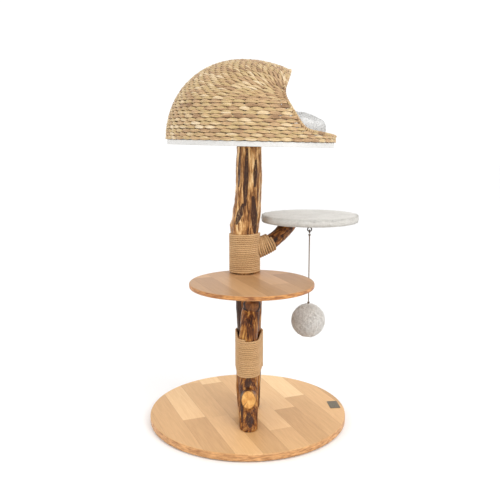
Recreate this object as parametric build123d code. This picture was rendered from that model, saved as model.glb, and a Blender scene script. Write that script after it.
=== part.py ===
from build123d import *
import os
from math import cos, pi, radians, sin

# A cat tree on natural trunks: a round base board, two debarked stems bound with jute, a middle
# platform, an upper trunk with a side branch that carries a plush perch, a hanging toy ball,
# and a hooded woven basket with a cushion on top.
# Millimetres. Z is up, the origin is on the floor below the centre of the base, the perch is
# towards +X, and the front, where the second stem stands, is towards -Y.
# Heights called "above the base" are measured from the top of the base board.

# ---- clearances ----
lay_gap = 0.3            # soft and round pieces that lie against each other
screw_gap = 0.1          # all round a screw in its hole
sink_gap = 0.5           # above a sunk screw head
drill_spare = 1          # of a hole's depth beyond the end of what goes in

# ---- base ----
base_radius = 280
base_thickness = 20
base_edge_round = 3
pad_radius = 15
pad_thickness = 3
pad_inset = 35           # from the base's edge to the middle of a pad
pad_count = 6            # round the edge; one more is in the middle
plate_width = 30
plate_length = 50
plate_thickness = 1
plate_corner = 3
plate_inset = 26         # from the base's edge to the middle of the plate
plate_bearing = 6        # degrees from +X
base_top = pad_thickness + base_thickness

# ---- lower trunk and front stem ----
trunk_y = 16
lower_trunk_height = 389
lower_trunk_radius = 34.5
lower_trunk_foot_taper = 2.5
lower_trunk_top_flare = 3      # where the bare upper part is widest
lower_trunk_end_flare = 1      # from there to the platform
lower_trunk_x = 4
lower_trunk_foot_lean = 2      # how far the foot stands back from the middle, in x
lower_trunk_bow = 3            # and how far it bows back between the foot and the wrap
lower_trunk_top_radius = lower_trunk_radius + lower_trunk_top_flare
stem_radius = 26
stem_foot_y = -135
stem_x = 2
stem_bound_gap = 19.5          # between the stem and the trunk inside the wrap
stem_bound_y = trunk_y - lower_trunk_radius - stem_bound_gap - stem_radius
stem_top_gap = 47              # from its end up to the platform
stem_top_height = lower_trunk_height - stem_top_gap
stem_top_x = 12
stem_neck_x = 8                # below the knot at its end
stem_lean_gap = 1              # between the leaning end and the trunk
stem_knot_rounding = 12        # height over which the knotty end closes in
stem_knot_shoulder = 6         # how much thinner it is at the start of that
stem_knot_crown = 17           # and at the end
stem_knot_lean = 4             # towards the trunk, in two equal steps
stub_height = 72         # of the sawn-off twig on the front stem, above the base
stub_half_width = 20
stub_half_height = 26
stub_reach = 47          # from the middle of the stem to the sawn face
stub_tilt = 15           # degrees upwards

# ---- jute wraps ----
rope_diameter = 5.5
lower_wrap_from = 124
lower_wrap_to = 236
upper_wrap_height = 114

# ---- middle platform ----
platform_radius = 165
platform_thickness = 12
platform_edge_round = 3
platform_x = 11
platform_y = -110
platform_screw_offset = 20     # on both sides of the stud
platform_bottom = base_top + lower_trunk_height
platform_top = platform_bottom + platform_thickness

# ---- upper trunk ----
upper_trunk_height = 353
upper_trunk_radius = 38
upper_trunk_taper = 4.3
upper_trunk_x = -8.6
upper_trunk_top_x = 4.3
burl_swell = 3           # of the swelling just above the wrap
burl_share = 0.09        # of the bare height, up to the swelling
burl_lean = -0.4         # in x, from the foot
crook_share = 0.20       # of the bare height, up to the first crook
crook_lean = 5
neck_share = 0.50        # of the bare height, up to where the trunk straightens
neck_lean = -1.3         # in x, from the top
neck_taper = 2
upper_trunk_top_radius = upper_trunk_radius - upper_trunk_taper
burl_radius = upper_trunk_radius + burl_swell

# ---- branch arm ----
arm_radius = 21.5
arm_root_height = 65     # of its axis at the trunk, above the platform
arm_bearing = 14         # degrees from +X, at the trunk
arm_rise = 7             # degrees, at the trunk
arm_straight = 40        # before it starts to bend
arm_first_bend = (0.56, 0.40, 0.26)     # shares of the way from its root to its top
arm_second_bend = (0.80, 0.69, 0.58)
arm_wrap_reach = 80      # from the trunk's axis to the end of its wrap
arm_lag_depth = 26       # from the trunk's axis out to the top of the screw's head
tenon_radius = 13
tenon_depth = 22         # into the trunk
tenon_shoulder = 10      # out of the trunk, inside the arm

# ---- perch ----
perch_radius = 141
perch_gap = 18.6               # between its edge and the upper trunk
perch_bearing = 18.3           # degrees from +X, seen from the upper trunk
perch_height = 136             # of its underside above the platform
perch_arm_x = 57               # from the perch's middle back to the top of the arm
perch_arm_y = 14.7
perch_board_thickness = 12
perch_pad_thickness = 6
perch_cover_thickness = 4      # of the plush all round the board
perch_hem_thickness = 2        # of its hem below the board
perch_hem_width = 25
perch_edge_round = 9
perch_reach = upper_trunk_radius + perch_gap + perch_radius
perch_x = upper_trunk_x + perch_reach * cos(radians(perch_bearing))
perch_y = trunk_y + perch_reach * sin(radians(perch_bearing))

# ---- hanging toy ----
eye_wire_radius = 1.7
eye_ring_radius = 5.8          # to the middle of the wire
eye_drop = 28                  # from the perch's underside to the middle of the lowest wire
eye_thread_length = 10
eye_flange_radius = 4
eye_flange_thickness = 1.5
string_diameter = 3.6
string_length = 194            # between the two knots
loop_play = 0.5                # between the loop of cord and the wire that it hangs on
loop_inner_radius = 2.8
knot_radius = 3.6
ball_radius = 50
ball_core_radius = 36

# ---- basket ----
basket_x = 8.5
basket_y = 25
basket_radius = 233
basket_height = 216            # from the floor board's top to the crown of the hood
basket_tilt = 1.2              # degrees, down towards +X
basket_bulge = 2.08            # exponent of the hood's rounded outline
hood_lean = -22                # how far the crown stands back from the middle
weave_thickness = 10
band_height = 100              # of the level rows below the hood
mouth_waist = (80, 118)        # where the mouth's edge reaches furthest back, as (x, height)
mouth_step = (135, 34)         # where it turns forwards to the low front lip
mouth_brow_slope = 0.36        # of the edge above the waist, forwards for each unit of height
mouth_lip_slope = 0.14         # of the lip, down for each unit forwards
mouth_round = 40               # radius of the edge at both turns
rim_width = 10
rim_proud = 1.5                # how far the rim stands out from the weave, on both sides
floor_inset = 5                # from the weave's outside to the edge of the board
floor_thickness = 13
floor_edge_round = 1.5
frame_wire = 4
arch_turns = (45, 90, 135)     # degrees from +X, of the wire arches
cushion_inset = 20             # from the weave's outside
cushion_crown = 80
cushion_crown_share = 0.72     # of its radius, over which the crown is level
cushion_edge_height = 56
cushion_edge_round = 14
cushion_shoulder_round = 21
cushion_crown_round = 112
dome_turn_step = 12            # degrees between the sections that make the hood's outline
dome_last_turn = 84
floor_radius = basket_radius - floor_inset
cushion_radius = basket_radius - cushion_inset

# ---- fasteners ----
lag_radius = 4
lag_head_radius = 8
lag_head_height = 5.5
lag_sink = 1                   # of a lag screw's head below the face that it is let into
washer_radius = 11
washer_thickness = 2
wood_screw_radius = 2.2
wood_screw_head_radius = 4.5
stud_radius = 5
stud_reach = 50                # into each trunk
lower_trunk_lag_length = 75
stem_lag_length = 48
stem_lag_inset = 8             # from the middle of the stem's foot, towards the trunk
stem_screw_length = 62
stem_screw_drop = 42           # below the stem's end
stem_screw_sink = 3
platform_screw_length = 45
arm_lag_length = 84
perch_screw_grip = 18          # in the arm
perch_screw_spacing = 13
basket_lag_length = 62
basket_screw_grip = 32         # in the upper trunk
basket_screw_circle = 21       # radius
basket_screw_turns = (90, 210, 330)


def log(sections):
    """Part of a debarked log: circles of (height, x, y, radius), with straight sides between them."""
    return loft([Pos(x, y, z) * Circle(r) for z, x, y, r in sections], ruled=True)


def rod(radius, low, high, x=0, y=0):
    """An upright cylinder between two heights."""
    return Pos(x, y, (low + high) / 2) * Cylinder(radius, high - low)


def lag_screw(length):
    """A hexagon-headed screw that hangs down from the top of its head at the origin."""
    head = extrude(RegularPolygon(lag_head_radius, 6), -lag_head_height)
    return head + rod(lag_radius, -lag_head_height - washer_thickness - length, -lag_head_height)


def lag_washer():
    """The washer below a lag screw's head."""
    low = -lag_head_height - washer_thickness
    return rod(washer_radius, low, -lag_head_height) - rod(lag_radius + screw_gap, low, -lag_head_height)


def lag_hole(length, mouth=0.0):
    """What a lag screw and its washer are let into; the mouth runs on above the head."""
    seat = -lag_head_height - washer_thickness
    pocket = rod(washer_radius + sink_gap, seat, mouth)
    return pocket + rod(lag_radius + screw_gap, seat - length - drill_spare, seat)


def wood_screw(length):
    """A countersunk screw, its flat head at the origin."""
    cone = wood_screw_head_radius - wood_screw_radius
    head = Pos(0, 0, -cone / 2) * Cone(wood_screw_radius, wood_screw_head_radius, cone)
    return head + rod(wood_screw_radius, -length, -cone)


def wood_screw_hole(length):
    """A countersunk hole for a wood screw."""
    cone = wood_screw_head_radius - wood_screw_radius
    wide = Pos(0, 0, -cone / 2) * Cone(
        wood_screw_radius + screw_gap, wood_screw_head_radius + screw_gap, cone)
    return wide + rod(wood_screw_radius + screw_gap, -length - drill_spare, -cone / 2)


def rounded_disc(radius, bottom, thickness, edge_round):
    """A round board with both edges eased."""
    disc = rod(radius, bottom, bottom + thickness)
    return fillet(disc.edges().filter_by(GeomType.CIRCLE), edge_round)


# ---- places that several pieces share ----
lag_up = Rot(180, 0, 0)        # turns a screw to point upwards
base_screw_z = pad_thickness + lag_sink
lower_trunk_foot_x = lower_trunk_x - lower_trunk_foot_lean
stem_foot_x = stem_x + 1
base_screws = [
    (Pos(lower_trunk_foot_x, trunk_y, base_screw_z) * lag_up, lower_trunk_lag_length),
    (Pos(stem_foot_x, stem_foot_y + stem_lag_inset, base_screw_z) * lag_up, stem_lag_length),
]
stem_lean_y = trunk_y - lower_trunk_top_radius - stem_lean_gap - stem_radius
stem_screw_place = Location(
    Plane(origin=(stem_neck_x, stem_lean_y - stem_radius + stem_screw_sink,
                  base_top + stem_top_height - stem_screw_drop), z_dir=(0, -1, 0)))
stud_x = (lower_trunk_x + upper_trunk_x) / 2
platform_screws = [Pos(stud_x + side * platform_screw_offset, trunk_y, platform_top) for side in (-1, 1)]

arm_root = Vector(upper_trunk_x, trunk_y, platform_top + arm_root_height)
arm_heading = Vector(cos(radians(arm_rise)) * cos(radians(arm_bearing)),
                     cos(radians(arm_rise)) * sin(radians(arm_bearing)), sin(radians(arm_rise)))
arm_place = Location(Plane(origin=arm_root, z_dir=arm_heading))
arm_lag = arm_place * Pos(0, 0, -arm_lag_depth) * lag_up

perch_bottom = platform_top + perch_height
board_bottom = perch_bottom + perch_hem_thickness
board_top = board_bottom + perch_board_thickness
pad_top = board_top + perch_pad_thickness
perch_top = pad_top + perch_cover_thickness
perch_board_radius = perch_radius - perch_cover_thickness - lay_gap
arm_top = Vector(perch_x - perch_arm_x, perch_y - perch_arm_y, board_bottom)
perch_screw_length = perch_board_thickness + perch_screw_grip
perch_screws = [Pos(arm_top.X - back, arm_top.Y - back / 2, board_top) for back in (0, perch_screw_spacing)]

eye_z = perch_bottom - eye_drop            # middle of the ring's lowest wire
string_radius = string_diameter / 2
loop_radius = loop_inner_radius + string_radius
loop_z = eye_z + eye_wire_radius + loop_play - loop_inner_radius
knot_z = loop_z - loop_radius - string_radius - lay_gap - knot_radius
string_top = knot_z - knot_radius
string_bottom = string_top - string_length
low_knot_z = string_bottom - knot_radius
ball_z = low_knot_z - knot_radius - lay_gap - ball_radius

basket_seat = platform_top + upper_trunk_height + floor_thickness
basket_place = Location((basket_x, basket_y, basket_seat), (0, basket_tilt, 0))
basket_bolt = Pos(upper_trunk_top_x - basket_x, trunk_y - basket_y, -sink_gap)
basket_screw_length = floor_thickness + basket_screw_grip
basket_screws = [basket_bolt * Pos(0, 0, sink_gap) * Rot(0, 0, turn) * Pos(basket_screw_circle, 0, 0)
                 for turn in basket_screw_turns]


def base_board():
    board = rounded_disc(base_radius, pad_thickness, base_thickness, base_edge_round)
    for place, length in base_screws:
        board -= place * lag_hole(length, 2 * lag_sink)
    return board


def felt_pads():
    outer = rod(pad_radius, 0, pad_thickness, base_radius - pad_inset)
    spacing = 360 / pad_count
    ring = [Rot(0, 0, spacing * (i + 0.5)) * outer for i in range(pad_count)]
    return ring + [rod(pad_radius, 0, pad_thickness)]


def label_plate():
    plate = Box(plate_width, plate_length, plate_thickness)
    plate = fillet(plate.edges().filter_by(Axis.Z), plate_corner)
    reach = base_radius - plate_inset
    return Rot(0, 0, plate_bearing) * Pos(reach, 0, base_top + plate_thickness / 2) * plate


def lower_trunk():
    low, high = base_top + lower_wrap_from, base_top + lower_wrap_to
    x, y, r = lower_trunk_x, trunk_y, lower_trunk_radius
    foot = log([(base_top, lower_trunk_foot_x, y, r - lower_trunk_foot_taper),
                ((base_top + low) / 2, x - lower_trunk_bow, y, r + 0.5),
                (low, x, y, r)])
    bound = rod(r, low, high, x, y)
    widest = high + 0.45 * (platform_bottom - high)
    top = log([(high, x, y, r), (widest, x, y, lower_trunk_top_radius),
               (platform_bottom, x, y, lower_trunk_top_radius + lower_trunk_end_flare)])
    trunk = foot + bound + top
    place, length = base_screws[0]
    trunk -= place * lag_hole(length)
    stud_end = platform_bottom - stud_reach - drill_spare
    trunk -= rod(stud_radius + screw_gap, stud_end, platform_bottom, stud_x, y)
    for spot in platform_screws:
        trunk -= spot * wood_screw_hole(platform_screw_length)
    return trunk - stem_screw_place * wood_screw_hole(stem_screw_length)


def front_stem():
    low, high = base_top + lower_wrap_from, base_top + lower_wrap_to
    span = stem_bound_y - stem_foot_y
    thin = stem_radius - 1
    foot = log([(base_top, stem_foot_x, stem_foot_y, thin),
                (base_top + 0.4 * lower_wrap_from, stem_x, stem_foot_y + 0.37 * span, stem_radius),
                (low, stem_x, stem_bound_y, stem_radius)])
    bound = rod(stem_radius, low, high, stem_x, stem_bound_y)
    end = base_top + stem_top_height
    rise = end - high
    leaning_in = 0.67 * stem_bound_y + 0.33 * stem_lean_y
    top = log([(high, stem_x, stem_bound_y, stem_radius),
               (high + 0.35 * rise, (stem_x + stem_neck_x) / 2, leaning_in, stem_radius),
               (high + 0.65 * rise, stem_neck_x, stem_lean_y, thin),
               (end - stem_knot_rounding, stem_top_x, stem_lean_y + stem_knot_lean,
                stem_radius - stem_knot_shoulder),
               (end, stem_top_x, stem_lean_y + 2 * stem_knot_lean, stem_radius - stem_knot_crown)])
    lean = stub_height / lower_wrap_from * span
    middle = Vector(stem_x, stem_foot_y + lean, base_top + stub_height)
    outwards = Vector(0, -cos(radians(stub_tilt)), sin(radians(stub_tilt)))
    face = Plane(origin=middle + outwards * stub_reach, x_dir=(1, 0, 0), z_dir=outwards)
    stub = extrude(face * Ellipse(stub_half_width, stub_half_height), -stub_reach)
    stem = foot + bound + top + stub
    place, length = base_screws[1]
    stem -= place * lag_hole(length)
    return stem - stem_screw_place * wood_screw_hole(stem_screw_length)


def lower_jute_wrap():
    def outline(extra):
        main = Pos(lower_trunk_x, trunk_y) * Circle(lower_trunk_radius + extra)
        front = Pos(stem_x, stem_bound_y) * Circle(stem_radius + extra)
        return make_hull(main.edges() + front.edges())
    band = outline(lay_gap + rope_diameter) - outline(lay_gap)
    return Pos(0, 0, base_top + lower_wrap_from) * extrude(band, lower_wrap_to - lower_wrap_from)


def mid_platform():
    board = rounded_disc(platform_radius, platform_bottom, platform_thickness, platform_edge_round)
    board = Pos(platform_x, platform_y) * board
    board -= rod(stud_radius + screw_gap, platform_bottom, platform_top, stud_x, trunk_y)
    for spot in platform_screws:
        board -= spot * wood_screw_hole(platform_screw_length)
    return board


def platform_stud():
    return rod(stud_radius, platform_bottom - stud_reach, platform_top + stud_reach, stud_x, trunk_y)


def upper_trunk():
    bound_top = platform_top + upper_wrap_height
    rest = upper_trunk_height - upper_wrap_height
    x, top_x, y = upper_trunk_x, upper_trunk_top_x, trunk_y
    bound = rod(upper_trunk_radius, platform_top, bound_top, x, y)
    above = log([(bound_top, x, y, upper_trunk_radius),
                 (bound_top + burl_share * rest, x + burl_lean, y, burl_radius),
                 (bound_top + crook_share * rest, x + crook_lean, y, upper_trunk_radius),
                 (bound_top + neck_share * rest, top_x + neck_lean, y, upper_trunk_radius - neck_taper),
                 (bound_top + rest + floor_thickness, top_x, y, upper_trunk_top_radius)])
    trunk = bound + above
    seat = Pos(0, 0, 2 * floor_thickness) * Box(4 * burl_radius, 4 * burl_radius, 6 * floor_thickness)
    trunk -= basket_place * seat
    stud_end = platform_top + stud_reach + drill_spare
    trunk -= rod(stud_radius + screw_gap, platform_top, stud_end, stud_x, y)
    trunk -= basket_place * basket_bolt * lag_hole(basket_lag_length, sink_gap)
    for spot in basket_screws:
        trunk -= basket_place * spot * wood_screw_hole(basket_screw_length)
    tenon_end = upper_trunk_radius - tenon_depth
    trunk -= arm_place * rod(tenon_radius + screw_gap, tenon_end - lay_gap, 2 * upper_trunk_radius)
    return trunk - arm_lag * lag_hole(arm_lag_length, upper_trunk_radius)


def upper_jute_wrap():
    wood = upper_trunk_radius + lay_gap
    top = platform_top + upper_wrap_height
    band = rod(wood + rope_diameter, platform_top, top, upper_trunk_x, trunk_y)
    band -= rod(wood, platform_top, top, upper_trunk_x, trunk_y)
    return band - arm_shape(lay_gap)


def arm_path():
    """The arm's axis, from the trunk's axis to a little above the board's underside."""
    rise = arm_top - arm_root
    bends = [arm_root + Vector(x * rise.X, y * rise.Y, z * rise.Z)
             for x, y, z in (arm_first_bend, arm_second_bend)]
    beyond = arm_top + (arm_top - bends[-1]).normalized() * arm_radius * 1.5
    return Spline(arm_root, arm_root + arm_heading * arm_straight, *bends, arm_top, beyond)


def arm_shape(extra, until=1.0):
    """The arm's round section along its path, with extra added to its radius."""
    path = arm_path()
    sections = []
    for step in range(9):
        along = until * step / 8
        ahead = path % along
        level = Vector(ahead.Y, -ahead.X, 0)
        place = Plane(origin=path @ along, x_dir=level, z_dir=ahead)
        sections.append(place * Circle(arm_radius + extra))
    return loft(sections)


def branch_arm():
    arm = arm_shape(0)
    arm -= rod(perch_radius, board_bottom, board_bottom + perch_radius, perch_x, perch_y)
    arm -= rod(upper_trunk_radius + lay_gap, base_top, basket_seat, upper_trunk_x, trunk_y)
    tenon_start = upper_trunk_radius - tenon_depth
    arm += arm_place * rod(tenon_radius, tenon_start, upper_trunk_radius + tenon_shoulder)
    arm -= arm_lag * lag_hole(arm_lag_length)
    for spot in perch_screws:
        arm -= spot * wood_screw_hole(perch_screw_length)
    return arm


def arm_jute_wrap():
    path = arm_path()
    until = arm_wrap_reach / path.length
    sleeve = arm_shape(lay_gap + rope_diameter, until) - arm_shape(lay_gap)
    outside = upper_trunk_radius + rope_diameter + 2 * lay_gap
    return sleeve - rod(outside, platform_top, basket_seat, upper_trunk_x, trunk_y)


def perch_board():
    board = rod(perch_board_radius, board_bottom, board_top, perch_x, perch_y)
    for spot in perch_screws:
        board -= spot * wood_screw_hole(perch_screw_length)
    return board - rod(eye_wire_radius + screw_gap, board_bottom, board_bottom + eye_thread_length,
                       perch_x, perch_y)


def perch_pad():
    return rod(perch_board_radius, board_top + lay_gap, pad_top, perch_x, perch_y)


def perch_cover():
    cover = rounded_disc(perch_radius, perch_bottom, perch_top - perch_bottom, perch_edge_round)
    cover = Pos(perch_x, perch_y) * cover
    inside = perch_board_radius + lay_gap
    cover -= rod(inside, board_bottom, pad_top + lay_gap, perch_x, perch_y)
    return cover - rod(inside - perch_hem_width, perch_bottom, board_bottom, perch_x, perch_y)


def screw_eye():
    ring_z = eye_z + eye_ring_radius
    ring = Pos(perch_x, perch_y, ring_z) * Rot(90, 0, 0) * Torus(eye_ring_radius, eye_wire_radius)
    thread_end = board_bottom + eye_thread_length - drill_spare
    shank = rod(eye_wire_radius, ring_z + eye_ring_radius, thread_end, perch_x, perch_y)
    flange = rod(eye_flange_radius, board_bottom - eye_flange_thickness, board_bottom, perch_x, perch_y)
    return ring + shank + flange


def toy_loop():
    return Pos(perch_x, perch_y, loop_z) * Rot(0, 90, 0) * Torus(loop_radius, string_radius)


def toy_knots():
    return [Pos(perch_x, perch_y, z) * Sphere(knot_radius) for z in (knot_z, low_knot_z)]


def toy_string():
    string = rod(string_radius, string_bottom, string_top, perch_x, perch_y)
    section = pi * string_radius ** 2
    print("string: length", string_length, "volume / section x length",
          round(string.volume / section / string_length, 4))
    return string


def toy_core():
    return Pos(perch_x, perch_y, ball_z) * Sphere(ball_core_radius)


def toy_ball():
    ball = Sphere(ball_radius) - Sphere(ball_core_radius + lay_gap)
    return Pos(perch_x, perch_y, ball_z) * ball


def dome(inset):
    """The basket's full outer form without its opening, made smaller by an inset."""
    radius, height = basket_radius - inset, basket_height - inset
    sections = []
    for turn in range(0, dome_last_turn + 1, dome_turn_step):
        wide = cos(radians(turn)) ** (2 / basket_bulge)
        high = sin(radians(turn)) ** (2 / basket_bulge)
        sections.append(Pos(hood_lean * (1 - wide), 0, high * height) * Circle(radius * wide))
    return loft(sections)


def opening(margin):
    """The space that the basket's mouth takes away, seen from the side and widened by a margin."""
    top, front = 1.4 * basket_height, 1.5 * basket_radius      # both well outside the weave
    brow = mouth_waist[0] + mouth_brow_slope * (top - mouth_waist[1])
    lip = mouth_step[1] - mouth_lip_slope * (front - mouth_step[0])
    edge = FilletPolyline((brow, top), mouth_waist, mouth_step, (front, lip), (front, top),
                          radius=[rim_width, mouth_round, mouth_round, rim_width, rim_width], close=True)
    mouth = make_face(edge.edges())
    if margin:
        mouth = offset(mouth, margin, kind=Kind.ARC)
    return extrude(Plane.XZ * mouth, 1.5 * basket_radius, both=True)


def slab(low, high):
    """A level slice of space, wider than the basket."""
    return Pos(0, 0, (low + high) / 2) * Box(3 * basket_radius, 3 * basket_radius, high - low)


def woven_shell(low, high):
    shell = dome(0) - dome(weave_thickness)
    return (shell & slab(low, high)) - opening(rim_width)


def basket_floor():
    board = rounded_disc(floor_radius, -floor_thickness, floor_thickness, floor_edge_round)
    board -= basket_bolt * lag_hole(basket_lag_length, sink_gap)
    for spot in basket_screws:
        board -= spot * wood_screw_hole(basket_screw_length)
    return board


def rim_binding():
    shell = dome(-rim_proud) - dome(weave_thickness + rim_proud)
    return (shell & slab(0, 2 * basket_height)) & (opening(rim_width) - opening(0))


def basket_frame():
    """The welded wire frame inside the weave: a ring on the floor and three arches."""
    outer = weave_thickness + lay_gap
    shell = dome(outer) - dome(outer + frame_wire)
    wires = Pos(0, 0, frame_wire / 2) * Box(3 * basket_radius, 3 * basket_radius, frame_wire)
    arch = Pos(0, 0, basket_height / 2) * Box(3 * basket_radius, frame_wire, basket_height)
    for turn in arch_turns:
        wires += Pos(hood_lean, 0) * Rot(0, 0, turn) * arch
    return (shell & wires) - opening(rim_width + 2 * rim_proud)


def cushion():
    edge, low = cushion_radius, lay_gap
    outline = FilletPolyline((0, low), (edge, low), (edge, cushion_edge_height),
                             (cushion_crown_share * edge, cushion_crown), (0, cushion_crown),
                             radius=[cushion_edge_round, cushion_shoulder_round, cushion_crown_round])
    axis = Line(outline @ 1, outline @ 0)
    return revolve(Plane.XZ * make_face(outline.edges() + axis.edges()), Axis.Z)


def lag_screws(places):
    return [place * lag_screw(length) for place, length in places]


nodes = {
    "base_board": base_board(),
    "felt_pads": felt_pads(),
    "label_plate": label_plate(),
    "base_lag_screws": lag_screws(base_screws),
    "base_washers": [place * lag_washer() for place, length in base_screws],
    "lower_trunk": lower_trunk(),
    "front_stem": front_stem(),
    "stem_screw": stem_screw_place * wood_screw(stem_screw_length),
    "lower_jute_wrap": lower_jute_wrap(),
    "mid_platform": mid_platform(),
    "platform_stud": platform_stud(),
    "platform_screws": [spot * wood_screw(platform_screw_length) for spot in platform_screws],
    "upper_trunk": upper_trunk(),
    "upper_jute_wrap": upper_jute_wrap(),
    "branch_arm": branch_arm(),
    "arm_jute_wrap": arm_jute_wrap(),
    "arm_lag_screw": arm_lag * lag_screw(arm_lag_length),
    "arm_washer": arm_lag * lag_washer(),
    "perch_board": perch_board(),
    "perch_pad": perch_pad(),
    "perch_cover": perch_cover(),
    "perch_screws": [spot * wood_screw(perch_screw_length) for spot in perch_screws],
    "screw_eye": screw_eye(),
    "toy_loop": toy_loop(),
    "toy_knots": toy_knots(),
    "toy_string": toy_string(),
    "toy_core": toy_core(),
    "toy_ball": toy_ball(),
    "basket_floor": basket_place * basket_floor(),
    "basket_frame": basket_place * basket_frame(),
    "basket_wall": basket_place * woven_shell(0, band_height),
    "basket_hood": basket_place * woven_shell(band_height, basket_height),
    "rim_binding": basket_place * rim_binding(),
    "basket_lag_screw": basket_place * basket_bolt * lag_screw(basket_lag_length),
    "basket_washer": basket_place * basket_bolt * lag_washer(),
    "basket_screws": [basket_place * spot * wood_screw(basket_screw_length) for spot in basket_screws],
    "cushion": basket_place * cushion(),
}

os.makedirs("parts", exist_ok=True)
for name, shape in nodes.items():
    if isinstance(shape, list):
        shape = Compound(children=[solid for piece in shape for solid in piece.solids()])
    export_step(shape, f"parts/{name}.step")
    print(name, len(shape.solids()), "solids", round(shape.volume), "mm3")
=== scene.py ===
import math
import random

import bpy
import numpy as np
from mathutils import Matrix, Vector, noise
from mathutils.bvhtree import BVHTree


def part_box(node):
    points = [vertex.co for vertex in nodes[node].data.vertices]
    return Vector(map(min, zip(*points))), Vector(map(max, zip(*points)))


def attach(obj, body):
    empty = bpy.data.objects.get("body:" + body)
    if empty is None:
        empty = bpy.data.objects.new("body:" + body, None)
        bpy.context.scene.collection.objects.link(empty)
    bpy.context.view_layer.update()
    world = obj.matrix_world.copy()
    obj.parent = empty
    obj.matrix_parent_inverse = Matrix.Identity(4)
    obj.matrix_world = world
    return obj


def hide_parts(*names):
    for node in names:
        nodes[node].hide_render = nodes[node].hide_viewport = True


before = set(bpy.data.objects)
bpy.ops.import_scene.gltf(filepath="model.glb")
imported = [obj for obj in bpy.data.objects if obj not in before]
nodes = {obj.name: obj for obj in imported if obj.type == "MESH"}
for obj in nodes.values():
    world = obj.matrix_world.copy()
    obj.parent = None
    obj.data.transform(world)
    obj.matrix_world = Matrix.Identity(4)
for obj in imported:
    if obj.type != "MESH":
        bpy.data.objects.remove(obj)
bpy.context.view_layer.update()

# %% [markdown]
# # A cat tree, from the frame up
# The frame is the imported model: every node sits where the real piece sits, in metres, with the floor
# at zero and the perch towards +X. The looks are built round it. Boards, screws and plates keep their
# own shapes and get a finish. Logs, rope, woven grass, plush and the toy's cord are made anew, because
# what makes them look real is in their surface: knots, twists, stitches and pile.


def start_fresh():
    """Leaves nothing selected, because an operator acts on all that is selected."""
    if bpy.context.object and bpy.context.object.mode != "OBJECT":
        bpy.ops.object.mode_set(mode="OBJECT")
    bpy.ops.object.select_all(action="DESELECT")


def pick(*pieces):
    """Selects these pieces alone and makes the first one active."""
    start_fresh()
    for piece in pieces:
        piece.select_set(True)
    bpy.context.view_layer.objects.active = pieces[0]


def apply_all(piece):
    """Applies the modifiers in order, then the object's place, so that the place is in the mesh."""
    pick(piece)
    for modifier in list(piece.modifiers):
        bpy.ops.object.modifier_apply(modifier=modifier.name)
    bpy.ops.object.transform_apply(location=True, rotation=True, scale=True)


def settle(piece, finish, body="root"):
    """Gives a finished piece smooth faces, its finish if it has none yet, and the body that it rides on."""
    for polygon in piece.data.polygons:
        polygon.use_smooth = True
    if not piece.data.materials:
        piece.data.materials.append(finish)
    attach(piece, body)
    print(piece.name, len(piece.data.vertices), "vertices on", body)


def half_width(name):
    low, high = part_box(name)
    return (high.x - low.x) / 2


def unit(rows):
    """Vectors in rows, each made one long."""
    return rows / np.linalg.norm(rows, axis=1)[:, None]


def distances(points):
    """How far along a line each of its points is."""
    return np.concatenate([[0], np.cumsum(np.linalg.norm(np.diff(points, axis=0), axis=1))])


def read_along(values, along, wanted):
    """Rows of values known at some distances along a line, read at other distances."""
    return np.stack([np.interp(wanted, along, column) for column in values.T], axis=1)


def middle_of(name):
    low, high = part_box(name)
    return (low + high) / 2


# %% [markdown]
# ## The camera
# A portrait lens a little above the platform, looking slightly down, shows the tree as a shop does.

# %% Camera
camera_data = bpy.data.cameras.new("camera")
camera_data.lens = 46.39
camera_data.sensor_width = 36
camera = bpy.data.objects.new("camera", camera_data)
camera.location = (0.0064, -1.772, 0.7897)
camera.rotation_euler = (math.radians(80.41), 0, 0)
bpy.context.collection.objects.link(camera)
bpy.context.scene.camera = camera
print("camera at", tuple(camera.location))

# %% [markdown]
# ## The toy's cord
# The ball hangs from the perch's screw eye on one length of cord, tied at both ends and pulled straight
# by the ball's weight. A cord is a curve with a round bevel, so it stays a line that can be measured.

# %% Cord
string_low, string_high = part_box("toy_string")
string_radius = half_width("toy_string")
string_middle = (string_low + string_high) / 2
cord_curve = bpy.data.curves.new("ball_cord", "CURVE")
cord_curve.dimensions = "3D"
spline = cord_curve.splines.new("NURBS")
spline.points.add(2)
for point, height in zip(spline.points, (string_high.z, string_middle.z, string_low.z)):
    point.co = (string_middle.x, string_middle.y, height, 1)
spline.order_u = 3
spline.use_endpoint_u = True
cord_curve.bevel_depth = string_radius
cord_curve.bevel_resolution = 4
cord_curve.resolution_u = 24
cord_curve.use_fill_caps = True
ball_cord = bpy.data.objects.new("ball_cord", cord_curve)
bpy.context.collection.objects.link(ball_cord)

# %% [markdown]
# ## How the finishes are written
# A finish is a small graph of nodes. Patterns read Object coordinates, or an attribute that the strands
# carry, and their size is given in metres, so that grain and weave have their real scale. Numbers that
# are the same all over a surface are set on the shader itself.

# %% Helpers for finishes
def new_finish(name, **shader_values):
    finish = bpy.data.materials.new(name)
    finish.use_nodes = True
    shader = finish.node_tree.nodes["Principled BSDF"]
    for socket, value in shader_values.items():
        shader.inputs[socket.replace("_", " ")].default_value = value
    return finish, finish.node_tree, shader


def add_node(tree, kind, inputs=None, **settings):
    """Adds a node; an input is either a number or another node's output."""
    node = tree.nodes.new("ShaderNode" + kind)
    for name, value in settings.items():
        setattr(node, name, value)
    for key, value in (inputs or {}).items():
        if isinstance(value, bpy.types.NodeSocket):
            tree.links.new(value, node.inputs[key])
        else:
            node.inputs[key].default_value = value
    return node


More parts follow.
